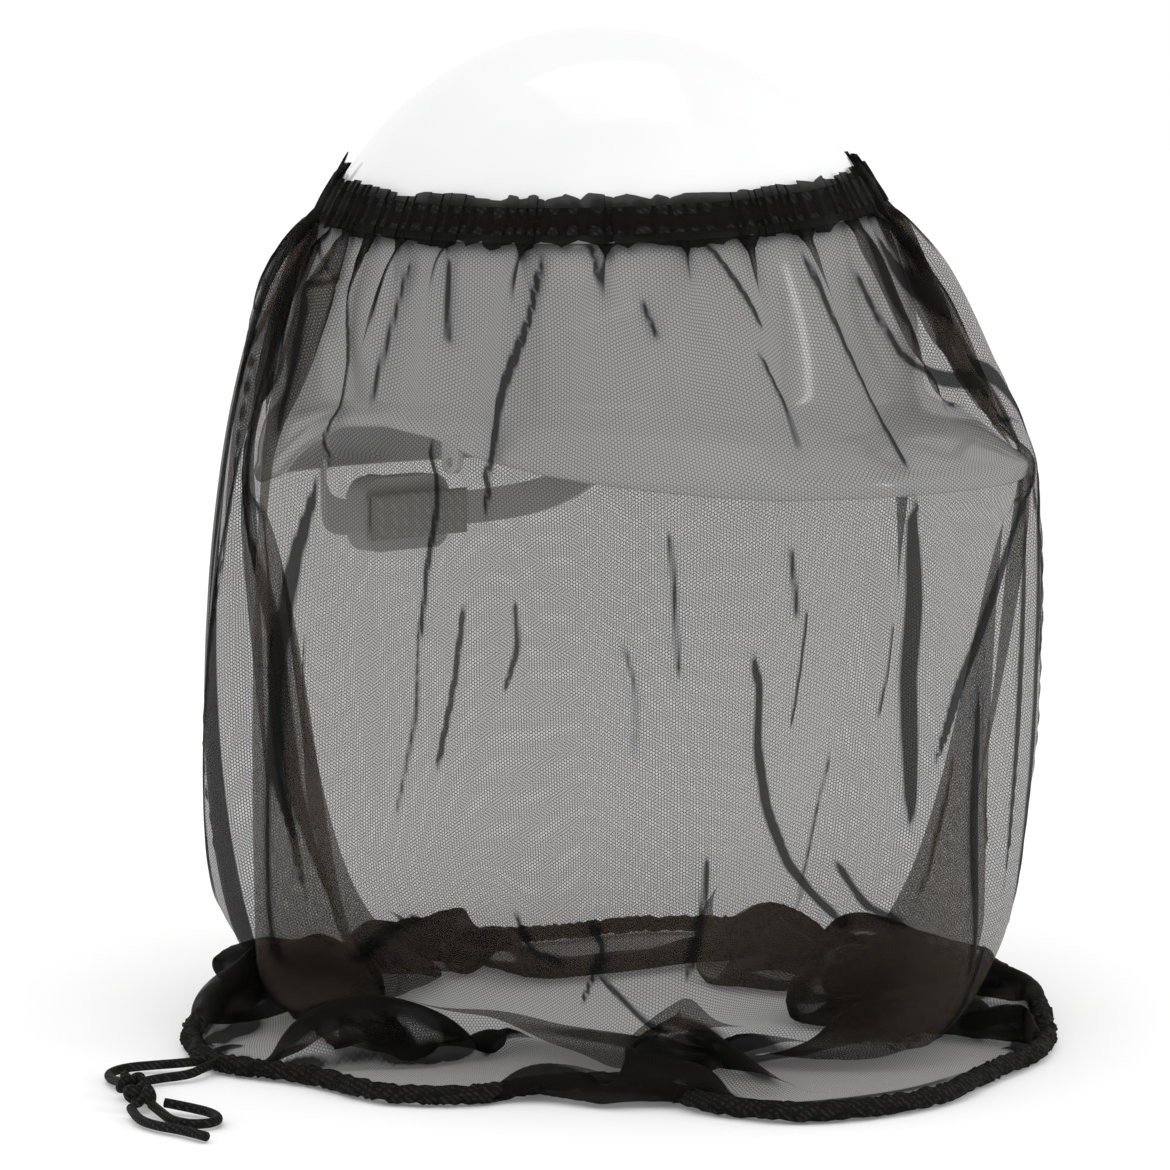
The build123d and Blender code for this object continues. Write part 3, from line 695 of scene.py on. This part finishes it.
        # hat
        x, y, z = X[..., 0], X[..., 1], X[..., 2]
        zz = np.clip(z - DOME_Z, 0, None)
        r = np.sqrt((x / 99.6) ** 2 + (y / 116.6) ** 2 + (zz / 121.6) ** 2)
        hit = (z > DOME_Z) & (r < 1) & (z < 58)
        f = np.where(hit, 1 / np.maximum(r, 0.3), 1)
        x *= f
        y *= f
        rim = np.interp(y, edge_y, edge_z)
        band = (z <= -13) & (z > rim - 1.5)
        n = brim_norm(x, y, z, 1.6)
        hit2 = band & (n < 1)
        f = np.where(hit2, 1 / np.maximum(n, 0.3), 1)
        x *= f
        y *= f
        on_hat = hit | hit2
        # clear of the nape knob where that is slid fully back
        knob = 1 - (x / KNOB_ROOM) ** 2 - ((z - KNOB_Z) / KNOB_ROOM) ** 2
        knob_y = KNOB_FROM + KNOB_REACH * np.sqrt(np.clip(knob, 0, 1))
        held_off = (knob > 0) & (y > 60) & (y < knob_y)
        y[held_off] = knob_y[held_off]
        # the bunched cloth keeps to an outline round the hem
        across, deep = (x - y) * 0.7071, (x + y) * 0.7071
        spread_out = np.clip((-110 - z) / 90, 0, 1)
        q = np.sqrt(
            ((across - MID_ACROSS) / (HALF_ACROSS + 6 * spread_out)) ** 2
            + ((deep - MID_DEEP) / (HALF_DEEP + 12 * spread_out)) ** 2
        )
        pull = np.where((z < -100) & (q > 1), 0.25 * (1 - 1 / np.maximum(q, 1)), 0)
        across -= pull * (across - MID_ACROSS)
        deep -= pull * (deep - MID_DEEP)
        x[...] = (across + deep) * 0.7071
        y[...] = (deep - across) * 0.7071
        flat = z < TABLE + 1.2
        z[flat] = TABLE + 1.2
        V = (X - prev) / dt
        V[on_hat] *= 0.985
        V[flat] *= np.array([0.8, 0.8, 0.0])
        # settle
        if s > steps - 150:
            V *= 0.97
    return X, col_phi


def finer(grid):
    """Twice the rows and columns of a closed tube, on smooth curves through the points."""
    a, c, d = np.roll(grid, 1, 1), np.roll(grid, -1, 1), np.roll(grid, -2, 1)
    half = (-a + 9 * grid + 9 * c - d) / 16
    wide = np.empty((grid.shape[0], grid.shape[1] * 2, 3))
    wide[:, 0::2], wide[:, 1::2] = grid, half
    pad = np.vstack([2 * wide[:1] - wide[1:2], wide, 2 * wide[-1:] - wide[-2:-1]])
    half = (-pad[:-3] + 9 * pad[1:-2] + 9 * pad[2:-1] - pad[3:]) / 16
    tall = np.empty((wide.shape[0] * 2 - 1, wide.shape[1], 3))
    tall[0::2], tall[1::2] = wide, half
    return tall


net, column_angle = drape(steps=1000)
# The cloth's joined edge runs down the seam
SEAM_ANGLE = math.radians(141.0)
first = int(np.argmin(np.abs(np.mod(column_angle, 2 * math.pi) - SEAM_ANGLE)))
net = np.roll(net, -first, 1)
net = finer(net)
net = np.concatenate([net, net[:, :1]], 1)
net[..., 2] = np.maximum(net[..., 2], TABLE + 0.9)


def keep_off_brim(grid):
    """The grid moved out, where needed, to clear the brim's bead and rolled edge."""
    x, y, z = grid[..., 0], grid[..., 1], grid[..., 2]
    rim = np.interp(y, [e[0] for e in EDGE], [e[1] for e in EDGE])
    stand = 3.0 - 0.8 * np.clip(rim - 4 - z, 0, 6)
    norm = brim_norm(x, y, z, stand)
    inside = (z <= -13) & (z > rim - 10) & (norm < 1)
    out = np.where(inside, 1 / np.maximum(norm, 0.5), 1.0)
    return grid * np.stack([out, out, np.ones_like(out)], -1)


net = keep_off_brim(net)
rows, cols = net.shape[:2]
flat_u = np.broadcast_to(np.linspace(0, ROUND, cols), (rows, cols))
flat_v = np.broadcast_to(np.linspace(LONG, 0, rows)[:, None], (rows, cols))
flat = np.stack([flat_u, flat_v, np.zeros((rows, cols))], -1)
# Pinched folds, drawn as painted shade and closer cloth: half-width, darkness, and a line on the flat cloth
# (along it, below its top), in mm
FOLD_LINES = (
    (1.5, 0.80, ((32, 0), (95, 23), (98, 44), (98, 69))),
    (1.2, 0.80, ((109, 1), (111, 24), (124, 53), (118, 74))),
    (1.1, 0.75, ((149, 6), (143, 28), (139, 54))),
    (1.3, 0.80, ((170, 5), (171, 18), (172, 32))),
    (1.6, 0.90, ((214, 2), (205, 28), (198, 48), (195, 64), (190, 84))),
    (1.5, 0.85, ((171, 60), (171, 79), (165, 100), (162, 122))),
    (1.0, 0.70, ((230, 0), (235, 15))),
    (1.0, 0.70, ((252, 17), (256, 29))),
    (1.1, 0.80, ((280, 0), (289, 23), (293, 31))),
    (1.0, 0.75, ((289, 39), (296, 56), (296, 71))),
    (1.3, 0.85, ((319, 8), (323, 38), (330, 65), (332, 82))),
    (2.2, 0.85, ((379, 5), (389, 32), (425, 60), (429, 81))),
    (1.8, 0.85, ((355, 4), (356, 36), (381, 56), (423, 78))),
    (1.4, 0.80, ((346, 13), (350, 51), (381, 65))),
    (2.4, 0.85, ((330, 89), (336, 121), (338, 158), (340, 196))),
    (1.8, 0.85, ((408, 85), (385, 110), (375, 127), (359, 156), (348, 176))),
    (2.0, 0.85, ((1020, 20), (1056, 207))),
    (1.8, 0.85, ((114, 74), (107, 103), (103, 136), (102, 168), (110, 190))),
    (1.5, 0.80, ((100, 155), (100, 181), (100, 214), (100, 237))),
    (1.0, 0.70, ((253, 90), (255, 111), (257, 136))),
    (1.0, 0.70, ((290, 99), (292, 110), (294, 122))),
    (1.6, 0.90, ((280, 130), (283, 141), (283, 159), (287, 179), (296, 198), (308, 212), (321, 225))),
    (1.0, 0.60, ((239, 122), (244, 137), (244, 158))),
    (1.3, 0.80, ((267, 190), (266, 206), (261, 229))),
    (1.3, 0.80, ((229, 209), (234, 216), (223, 236))),
    (1.1, 0.70, ((197, 205), (202, 218), (215, 221))),
    (1.2, 0.75, ((258, 249), (241, 233), (232, 225))),
    (1.2, 0.75, ((126, 233), (144, 216), (158, 210))),
    (1.4, 0.80, ((314, 201), (327, 219), (340, 225))),
    (1.4, 0.80, ((384, 237), (376, 257), (378, 356))),
    (2.0, 0.85, ((418, 88), (424, 130), (420, 180), (412, 236))),
    (1.8, 0.85, ((400, 100), (403, 150), (397, 225))),
    (1.5, 0.80, ((432, 60), (438, 120), (430, 190))),
    (1.8, 0.85, ((372, 150), (366, 200), (372, 246))),
    (2.0, 0.85, ((1040, 70), (1047, 130), (1043, 190), (1036, 240))),
    (1.8, 0.85, ((24, 60), (33, 130), (29, 190), (36, 240))),
    (1.8, 0.85, ((58, 90), (66, 150), (60, 225))),
)
pinch_and_shade = np.zeros((rows, cols))
below_top = LONG - flat_v
# and other painted-shade fold lines, scattered over the sides that have none of these
fold_rng = np.random.default_rng(23)
more_lines = []
for u in np.arange(450.0, 1040.0, 19.0):
    start = float(fold_rng.choice([3.0, 8.0, 40.0, 95.0, 150.0, 195.0], p=[0.3, 0.2, 0.15, 0.1, 0.1, 0.15]))
    drop, lean = fold_rng.uniform(24, 85), fold_rng.uniform(-14, 14)
    bow = fold_rng.uniform(-5, 5)
    more_lines.append((
        fold_rng.uniform(1.0, 1.7), fold_rng.uniform(0.65, 0.9),
        ((u, start), (u + 0.4 * lean + bow, start + 0.5 * drop), (u + lean, start + drop)),
    ))
for half, dark, line in FOLD_LINES + tuple(more_lines):
    p = np.array(line, float)
    t = np.linspace(0, len(p) - 1, 24 * (len(p) - 1))
    dense = np.stack([np.interp(t, np.arange(len(p)), p[:, k]) for k in range(2)], 1)
    for _ in range(20):
        dense[1:-1] = (dense[:-2] + dense[1:-1] + dense[2:]) / 3
    wide = half > 1.7
    half *= 2.0 if wide else 1.4
    for place, share in zip(dense, t / t[-1]):
        taper = math.sin(math.pi * (0.04 + 0.92 * share))
        size = max(half * taper ** 0.6, 1.75)
        d2 = (flat_u - place[0]) ** 2 + (below_top - place[1]) ** 2
        near_by = d2 < 9 * size * size
        falloff = d2[near_by] / (size * size)
        if wide:
            falloff = falloff ** 1.6
        dark_here = dark * min(1.0, 0.25 + 2.2 * taper)
        pinch_and_shade[near_by] = np.maximum(pinch_and_shade[near_by], dark_here * np.exp(-falloff))
along_u = np.gradient(net, axis=1)
along_v = np.gradient(net, axis=0)
outward = np.cross(along_v, along_u)
outward /= np.linalg.norm(outward, axis=-1, keepdims=True) + 1e-9
outward *= np.sign((outward * net * np.array([1, 1, 0])).sum(-1, keepdims=True))
net = net + outward * (1.3 * pinch_and_shade * (below_top > 4) * (flat_v > 8))[..., None]
net_piece = mesh_piece(
    "netting_folds", net.reshape(-1, 3), grid_faces(rows, cols, False), net_black
)
# Creases, made more closed and darkened by painted shade: where the cloth turns sharply from one column, or
# row, to the next
bend_u = np.zeros((rows, cols))
bend_v = np.zeros((rows, cols))
step_u, step_v = ROUND / (cols - 1), LONG / (rows - 1)
bend_u[:, 2:-2] = np.linalg.norm(net[:, 4:] + net[:, :-4] - 2 * net[:, 2:-2], axis=-1) / (4 * step_u)
bend_v[2:-2] = np.linalg.norm(net[4:] + net[:-4] - 2 * net[2:-2], axis=-1) / (4 * step_v)
bunched = np.clip((120 - flat_v) / 40, 0, 1)
crease_and_shade = np.clip((np.maximum(bend_u, bend_v) - 0.26 + 0.20 * bunched) / (0.42 - 0.22 * bunched), 0, 1)
crease_and_shade *= 0.80 + 0.1 * bunched
crease_and_shade = np.maximum((crease_and_shade + np.roll(crease_and_shade, 1, 0) + np.roll(crease_and_shade, -1, 0)) / 3, pinch_and_shade)
height_below = np.linspace(0, LONG, rows)[:, None]
# darker and more closed over the last 9 mm above the hem
crease_and_shade = np.maximum(crease_and_shade, 0.55 * np.clip(1 - height_below / 9.0, 0, 1))
cloth_layers(net_piece, flat, crease_and_shade)
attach(net_piece, "veil")
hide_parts("netting")

# ---- Seam, hem and heading -------------------------------------------------------------

across = np.array([-2, -1, 0, 1, 2])
seam_line = net[:, across % (cols - 1)]
axis_out = seam_line * np.array([1, 1, 0])
axis_out /= np.linalg.norm(axis_out, axis=-1, keepdims=True) + 1e-9
seam_points = seam_line + axis_out * np.array([0.5, 0.9, 1.3, 0.9, 0.5])[None, :, None]
seam_piece = mesh_piece(
    "seam_strip", seam_points.reshape(-1, 3), grid_faces(rows, 5, False), net_gathered
)
seam_flat = np.stack(np.broadcast_arrays(across * step_u, flat_v[:, :1], 0.0), -1)
cloth_layers(seam_piece, seam_flat, np.full((rows, 5), 0.45))
thick = seam_piece.modifiers.new("thickness", "SOLIDIFY")
thick.thickness = 0.0007
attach(seam_piece, "veil")
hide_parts("side_seam")

hem_line = net[-1, :-1]
hem_line = (hem_line + np.roll(hem_line, 1, 0) + np.roll(hem_line, -1, 0)) / 3
hem_count = len(hem_line)
ahead = np.roll(hem_line, -1, 0) - np.roll(hem_line, 1, 0)
ahead[:, 2] = 0
ahead /= np.linalg.norm(ahead, axis=1, keepdims=True) + 1e-9
side = np.stack([ahead[:, 1], -ahead[:, 0], np.zeros(hem_count)], 1)
rng = np.random.default_rng(11)
wrinkle = rng.uniform(0.68, 1.26, (14, hem_count))
turns = np.linspace(0, 2 * math.pi, 14, endpoint=False)


def hem_ring(radius, rough):
    points = np.zeros((14, hem_count, 3))
    for index, turn in enumerate(turns):
        reach = radius * (1 + rough * (wrinkle[index] - 1))[:, None]
        points[index] = (
            hem_line + side * math.cos(turn) * reach
            + np.array([0, 0, 1]) * (math.sin(turn) * reach * 0.85)
        )
        points[index, :, 2] = np.maximum(points[index, :, 2] + 0.2, TABLE + 0.3)
    return points


hem_points = hem_ring(3.3, 1.0)
hem_faces = [
    (i * hem_count + c, i * hem_count + (c + 1) % hem_count,
     ((i + 1) % 14) * hem_count + (c + 1) % hem_count, ((i + 1) % 14) * hem_count + c)
    for i in range(14) for c in range(hem_count)
]
hem_piece = mesh_piece("hem_channel", hem_points.reshape(-1, 3), hem_faces, hem_black)
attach(hem_piece, "veil")
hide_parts("bottom_hem")
inner_points = hem_ring(1.5, 0.0)
inner_cord = mesh_piece("drawcord_inside", inner_points.reshape(-1, 3), hem_faces, cord_black)
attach(inner_cord, "veil")
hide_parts("drawcord")

# Heading: the net gathered thickly over the elastic, with a ruffled edge above and below
count, levels = 1440, 17
turn = np.linspace(0, 2 * math.pi, count, endpoint=False)
pleat_count = 118
pleat_ends = np.concatenate([[0], np.cumsum(rng.uniform(0.35, 1.8, pleat_count))])
phase = np.interp(turn / (2 * math.pi), pleat_ends / pleat_ends[-1], np.arange(pleat_count + 1))
depth = rng.uniform(0.35, 1.25, pleat_count)[phase.astype(int) % pleat_count]
phase = phase * 2 * math.pi
pleat = np.sin(phase) * depth
drift = np.sin(7 * turn + 1) * 0.5 + np.sin(13 * turn + 2) * 0.5
ragged = np.interp(turn, np.linspace(0, 2 * math.pi, 161), rng.uniform(-1, 1, 161), period=2 * math.pi)
low_edge = heading_low(turn) - 1.0 + 1.6 * ragged + 0.8 * drift
high_edge = heading_low(turn, HEADING_TALL) + 1.1 * np.roll(ragged, 37) + 0.6 * drift
ruffle = np.zeros((levels, count, 3))
for level in range(levels):
    share = level / (levels - 1)
    z = low_edge * (1 - share) + high_edge * share
    hug = math.exp(-((share - 0.5) / 0.22) ** 2)
    reach = 3.0 + 0.6 * hug + (1.35 - 0.75 * hug) * pleat + 0.3 * drift
    reach = np.maximum(reach, 1.2 + 2.1 * hug ** 0.5)
    sway = 0.006 * np.cos(phase) * (1 - 0.6 * hug)
    ruffle[level, :, 0] = (crown_reach(z, DOME[0]) + reach) * np.cos(turn + sway)
    ruffle[level, :, 1] = (crown_reach(z, DOME[1]) + reach) * np.sin(turn + sway)
    ruffle[level, :, 2] = z
heading = mesh_piece(
    "heading_ruffle", ruffle.reshape(-1, 3), grid_faces(levels, count, True), net_gathered
)
flat = np.zeros((levels, count, 3))
flat[..., 0] = np.linspace(0, ROUND, count)[None, :]
flat[..., 1] = np.linspace(0, 19, levels)[:, None]
# the gathered heading nearly closed and dark, most in its middle band
crease_and_shade = np.broadcast_to(0.90 + 0.12 * pleat, (levels, count)) * np.ones((levels, 1))
band_share = np.exp(-((np.linspace(0, 1, levels) - 0.5) / 0.3) ** 2)[:, None]
crease_and_shade = np.clip(crease_and_shade * (0.82 + 0.25 * band_share), 0, 1)
cloth_layers(heading, flat, crease_and_shade)
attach(heading, "veil")
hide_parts("top_casing")

# Pointed tuft of the seam above the heading
tuft_base = float(heading_low(SEAM_ANGLE, HEADING_TALL)) - 5.0
tuft_wide = np.array([3.4, 2.8, 1.7, 0.3])
tuft = []
for rise, wide in zip((0.0, 5.0, 9.0, 13.0), tuft_wide):
    z = tuft_base + rise
    out_x = (crown_reach(z, DOME[0]) + 2.4 + 0.18 * rise) * math.cos(SEAM_ANGLE)
    out_y = (crown_reach(z, DOME[1]) + 2.4 + 0.18 * rise) * math.sin(SEAM_ANGLE)
    for k in range(10):
        a = 2 * math.pi * k / 10
        along, out = wide * math.cos(a), 0.9 * math.sin(a) * wide / 3
        tuft.append((
            out_x - along * math.sin(SEAM_ANGLE) + out * math.cos(SEAM_ANGLE),
            out_y + along * math.cos(SEAM_ANGLE) + out * math.sin(SEAM_ANGLE),
            z + 0.7 * math.sin(2 * a),
        ))
tuft_faces = grid_faces(4, 10, True) + [tuple(range(9, -1, -1)), tuple(range(30, 40))]
tuft_piece = mesh_piece("seam_tuft", tuft, tuft_faces, hem_black)
tuft_round = tuft_piece.modifiers.new("round", "SUBSURF")
tuft_round.levels = tuft_round.render_levels = 2
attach(tuft_piece, "veil")
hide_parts("seam_end")

# ---- Hard hat --------------------------------------------------------------------------

AROUND, DOME_ROWS, FLARE_ROWS, ROLL_ROWS, INNER_ROWS = 600, 84, 26, 7, 24
turn = np.linspace(0, 2 * math.pi, AROUND, endpoint=False)
ct, st = np.cos(turn), np.sin(turn)


def outline_reach(z, grow=0.0):
    return 1 / brim_norm(ct, st, z * np.ones_like(ct), grow)


rim_z = np.full(AROUND, -35.0)
for _ in range(40):
    reach_y = outline_reach(rim_z) * st
    rim_z = 0.5 * rim_z + 0.5 * np.interp(reach_y, [e[0] for e in EDGE], [e[1] for e in EDGE])
for _ in range(6):
    rim_z = (np.roll(rim_z, 1) + rim_z + np.roll(rim_z, -1)) / 3
rows_of = []
for share in np.linspace(0.004, 1, DOME_ROWS):
    angle = share * (math.pi / 2 - 0.0001)
    rows_of.append(np.stack([
        DOME[0] * math.sin(angle) * ct, DOME[1] * math.sin(angle) * st,
        np.full(AROUND, DOME_Z + DOME[2] * math.cos(angle)),
    ], 1))
# the dome's outline as a round oval blends into the brim's own outline
for share in np.linspace(0, 1, FLARE_ROWS + 1)[1:]:
    z = DOME_Z * (1 - share) + rim_z * share
    reach = outline_reach(z)
    oval = 1 / np.sqrt((ct / DOME[0]) ** 2 + (st / DOME[1]) ** 2)
    mix = np.clip(share * 3, 0, 1)
    reach = oval * (1 - mix) + reach * mix
    bead = np.clip(1 - np.abs((z - rim_z) - 2.6) / 3.2, 0, 1)
    reach = reach + 1.1 * bead ** 0.7
    rows_of.append(np.stack([reach * ct, reach * st, z], 1))
last = rows_of[-1]
last_reach = np.hypot(last[:, 0], last[:, 1])
for share in np.linspace(0, 1, ROLL_ROWS + 1)[1:]:
    a = math.pi * share
    reach = last_reach - 1.9 * (1 - math.cos(a))
    rows_of.append(np.stack([reach * ct, reach * st, last[:, 2] - 1.1 * math.sin(a)], 1))
for share in np.linspace(0, 1, INNER_ROWS + 1)[1:]:
    if share < 0.4:
        s = share / 0.4
        z = rim_z * (1 - s) + (DOME_Z + 2) * s
        oval = 1 / np.sqrt((ct / (DOME[0] - 2.6)) ** 2 + (st / (DOME[1] - 2.6)) ** 2)
        reach = (outline_reach(np.minimum(z, -14.0)) - 3.8) * (1 - s) + oval * s
        rows_of.append(np.stack([reach * ct, reach * st, z], 1))
    else:
        angle = math.pi / 2 * (1 - (share - 0.4) / 0.6) * 0.985 + 0.004
        rows_of.append(np.stack([
            (DOME[0] - 2.6) * math.sin(angle) * ct, (DOME[1] - 2.6) * math.sin(angle) * st,
            np.full(AROUND, DOME_Z + (DOME[2] - 2.6) * math.cos(angle)),
        ], 1))
shell = np.array(rows_of)
# smooth the flare's profile where straight runs meet
flare = slice(DOME_ROWS - 3, DOME_ROWS + FLARE_ROWS - 7)
for _ in range(5):
    shell[flare] = (shell[DOME_ROWS - 4:DOME_ROWS + FLARE_ROWS - 8] + 2 * shell[flare]
                    + shell[DOME_ROWS - 2:DOME_ROWS + FLARE_ROWS - 6]) / 4

# Raised lines moulded along each side and round the back, and a shallow panel's edges
RIBS = (
    (((0, 115.5, -5), (-45, 102.5, -5), (-70, 80.5, -4.6), (-84.9, 56.3, -3.8), (-96, 16.7, 0.7),
      (-96.1, -14.4, 2), (-91.6, -37.4, 1.2), (-84, -56.8, 1.1), (-75.4, -70.4, 5.7),
      (-64.8, -82, 12)), 2.2, 1.1, 0.9),
    (((-64.8, -82, 12), (-60.4, -86.5, 12.6), (-51.2, -94.9, 9.8), (-44.1, -101.2, 1.9)), 0.0, 1.6, 0.7),
    (((-64.9, -82.1, 11.4), (-65, -85.7, -7.3), (-64.2, -88, -15)), 0.0, 2.0, 0.5),
    (((-57.8, -89.1, 11.4), (-58.7, -91.8, -7.3), (-58.6, -93, -15)), 0.0, 2.0, 0.5),
)
outer = shell[40:DOME_ROWS + 8]
normal = np.cross(np.roll(outer, -1, 1) - np.roll(outer, 1, 1), np.gradient(outer, axis=0))
normal /= np.linalg.norm(normal, axis=-1, keepdims=True) + 1e-9
normal *= np.sign((normal * outer * np.array([1, 1, 0])).sum(-1, keepdims=True))
rise = np.zeros(outer.shape[:2])
for line, gap, width, height in RIBS:
    for mirror in (1, -1):
        p = np.array(line, float) * np.array([mirror, 1, 1])
        t = np.linspace(0, len(p) - 1, 120)
        dense = np.stack([np.interp(t, np.arange(len(p)), p[:, k]) for k in range(3)], 1)
        for _ in range(6):
            dense[1:-1] = (dense[:-2] + dense[1:-1] + dense[2:]) / 3
        for shift in ((-gap, gap) if gap else (0.0,)):
            q = dense + np.array([0, 0, shift])
            d2 = np.full(outer.shape[:2], 1e9)
            for point in q:
                d2 = np.minimum(d2, ((outer - point) ** 2).sum(-1))
            rise = np.maximum(rise, height * np.exp(-d2 / width ** 2))
shell[40:DOME_ROWS + 8] = outer + normal * rise[..., None]
total_rows = len(shell)
hat = mesh_piece(
    "hat_shell_moulded", shell.reshape(-1, 3),
    [f[::-1] for f in grid_faces(total_rows, AROUND, True)]
    + [tuple(range(AROUND)), tuple(range(total_rows * AROUND - 1, (total_rows - 1) * AROUND - 1, -1))],
    hat_white,
)
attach(hat, "hard_hat")
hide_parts("hat_shell")

# ---- Pads ------------------------------------------------------------------------------

def pad_slab(name, place, lengths, body, cad, channels=0, foam=foam_dark):
    """Closed, crowned pad: place(u, v, w) gives its points for u, v in 0..1 and w in -1..1."""
    nu, nv = lengths
    points = []
    for face in (1, -1):
        for i in range(nu + 1):
            for k in range(nv + 1):
                u, v = i / nu, k / nv
                rim = min(1.0, 6 * min(u, 1 - u)) * min(1.0, 4.5 * min(v, 1 - v))
                swell = math.sqrt(max(rim, 0.0)) * 0.9 + 0.1
                if channels:
                    swell *= 1 - 0.45 * math.exp(-((((u * channels) % 1) - 0.5) / 0.05) ** 2)
                points.append(place(u, v, face * swell))
    n = (nu + 1) * (nv + 1)
    faces = []
    for i in range(nu):
        for k in range(nv):
            a = i * (nv + 1) + k
            quad = (a, a + 1, a + nv + 2, a + nv + 1)
            faces.append(quad)
            faces.append(tuple(n + x for x in reversed(quad)))
    edge = [k for k in range(nv + 1)] + [i * (nv + 1) + nv for i in range(1, nu + 1)]
    edge += [nu * (nv + 1) + k for k in range(nv - 1, -1, -1)] + [i * (nv + 1) for i in range(nu - 1, 0, -1)]
    for a, b in zip(edge, edge[1:] + edge[:1]):
        faces.append((b, a, n + a, n + b))
    made = mesh_piece(name, points, faces, foam)
    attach(made, body)
    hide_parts(cad)
    return made


def sweat_place(u, v, w):
    angle = math.radians(-160) + u * math.radians(140)
    rx, ry = 79 - 1.6 + 1.4 * w, 97 - 1.6 + 1.4 * w
    return (rx * math.cos(angle), ry * math.sin(angle), -13.6 + 27.2 * v)


def crown_place(u, v, w):
    x, y = (u * 2 - 1), (v * 2 - 1)
    x, y = x * math.sqrt(1 - y * y / 2) * 23.5, y * math.sqrt(1 - (u * 2 - 1) ** 2 / 2) * 29.5
    drop = 0.5 + 1.3 - 1.2 * w
    a, b, c = 82.4 - drop, 100.4 - drop, 70.0 - drop
    return (x, y, 6.0 + c * math.sqrt(max(1 - (x / a) ** 2 - (y / b) ** 2, 0)))


nape_low, nape_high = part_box("nape_pad")


def nape_place(u, v, w):
    x = nape_low.x / MM + u * (nape_high.x - nape_low.x) / MM
    z = nape_low.z / MM + v * (nape_high.z - nape_low.z) / MM
    y = (nape_low.y + nape_high.y) / 2 / MM + w * 1.3
    return (x, y, z)


pad_slab("sweatband_foam", sweat_place, (120, 12), "hard_hat", "sweatband", 14)
pad_slab("crown_cushion", crown_place, (24, 28), "hard_hat", "crown_pad")
pad_slab("nape_cushion", nape_place, (32, 12), "nape_adjuster", "nape_pad", 4, foam_grey)

# ---- CAD nodes that show as they are ---------------------------------------------------

for name, material, slot in (
    ("chin_strap_tabs", hat_white, "hat_plastic"),
    ("headband", harness_white, "harness_plastic"),
    ("harness_keys", harness_white, "harness_plastic"),
    ("nape_strap", harness_white, "harness_plastic"),
    ("ratchet_housing", harness_white, "harness_plastic"),
    ("ratchet_knob", knob_grey, "knob_plastic"),
    ("ratchet_pinion", knob_grey, "knob_plastic"),
    ("crown_strap_left", webbing_grey, "webbing"),
    ("crown_strap_right", webbing_grey, "webbing"),
    ("top_elastic", elastic_black, "elastic"),
):
    shown = NODES[name]
    shown.data.materials.clear()
    shown.data.materials.append(material)

bpy.context.view_layer.update()
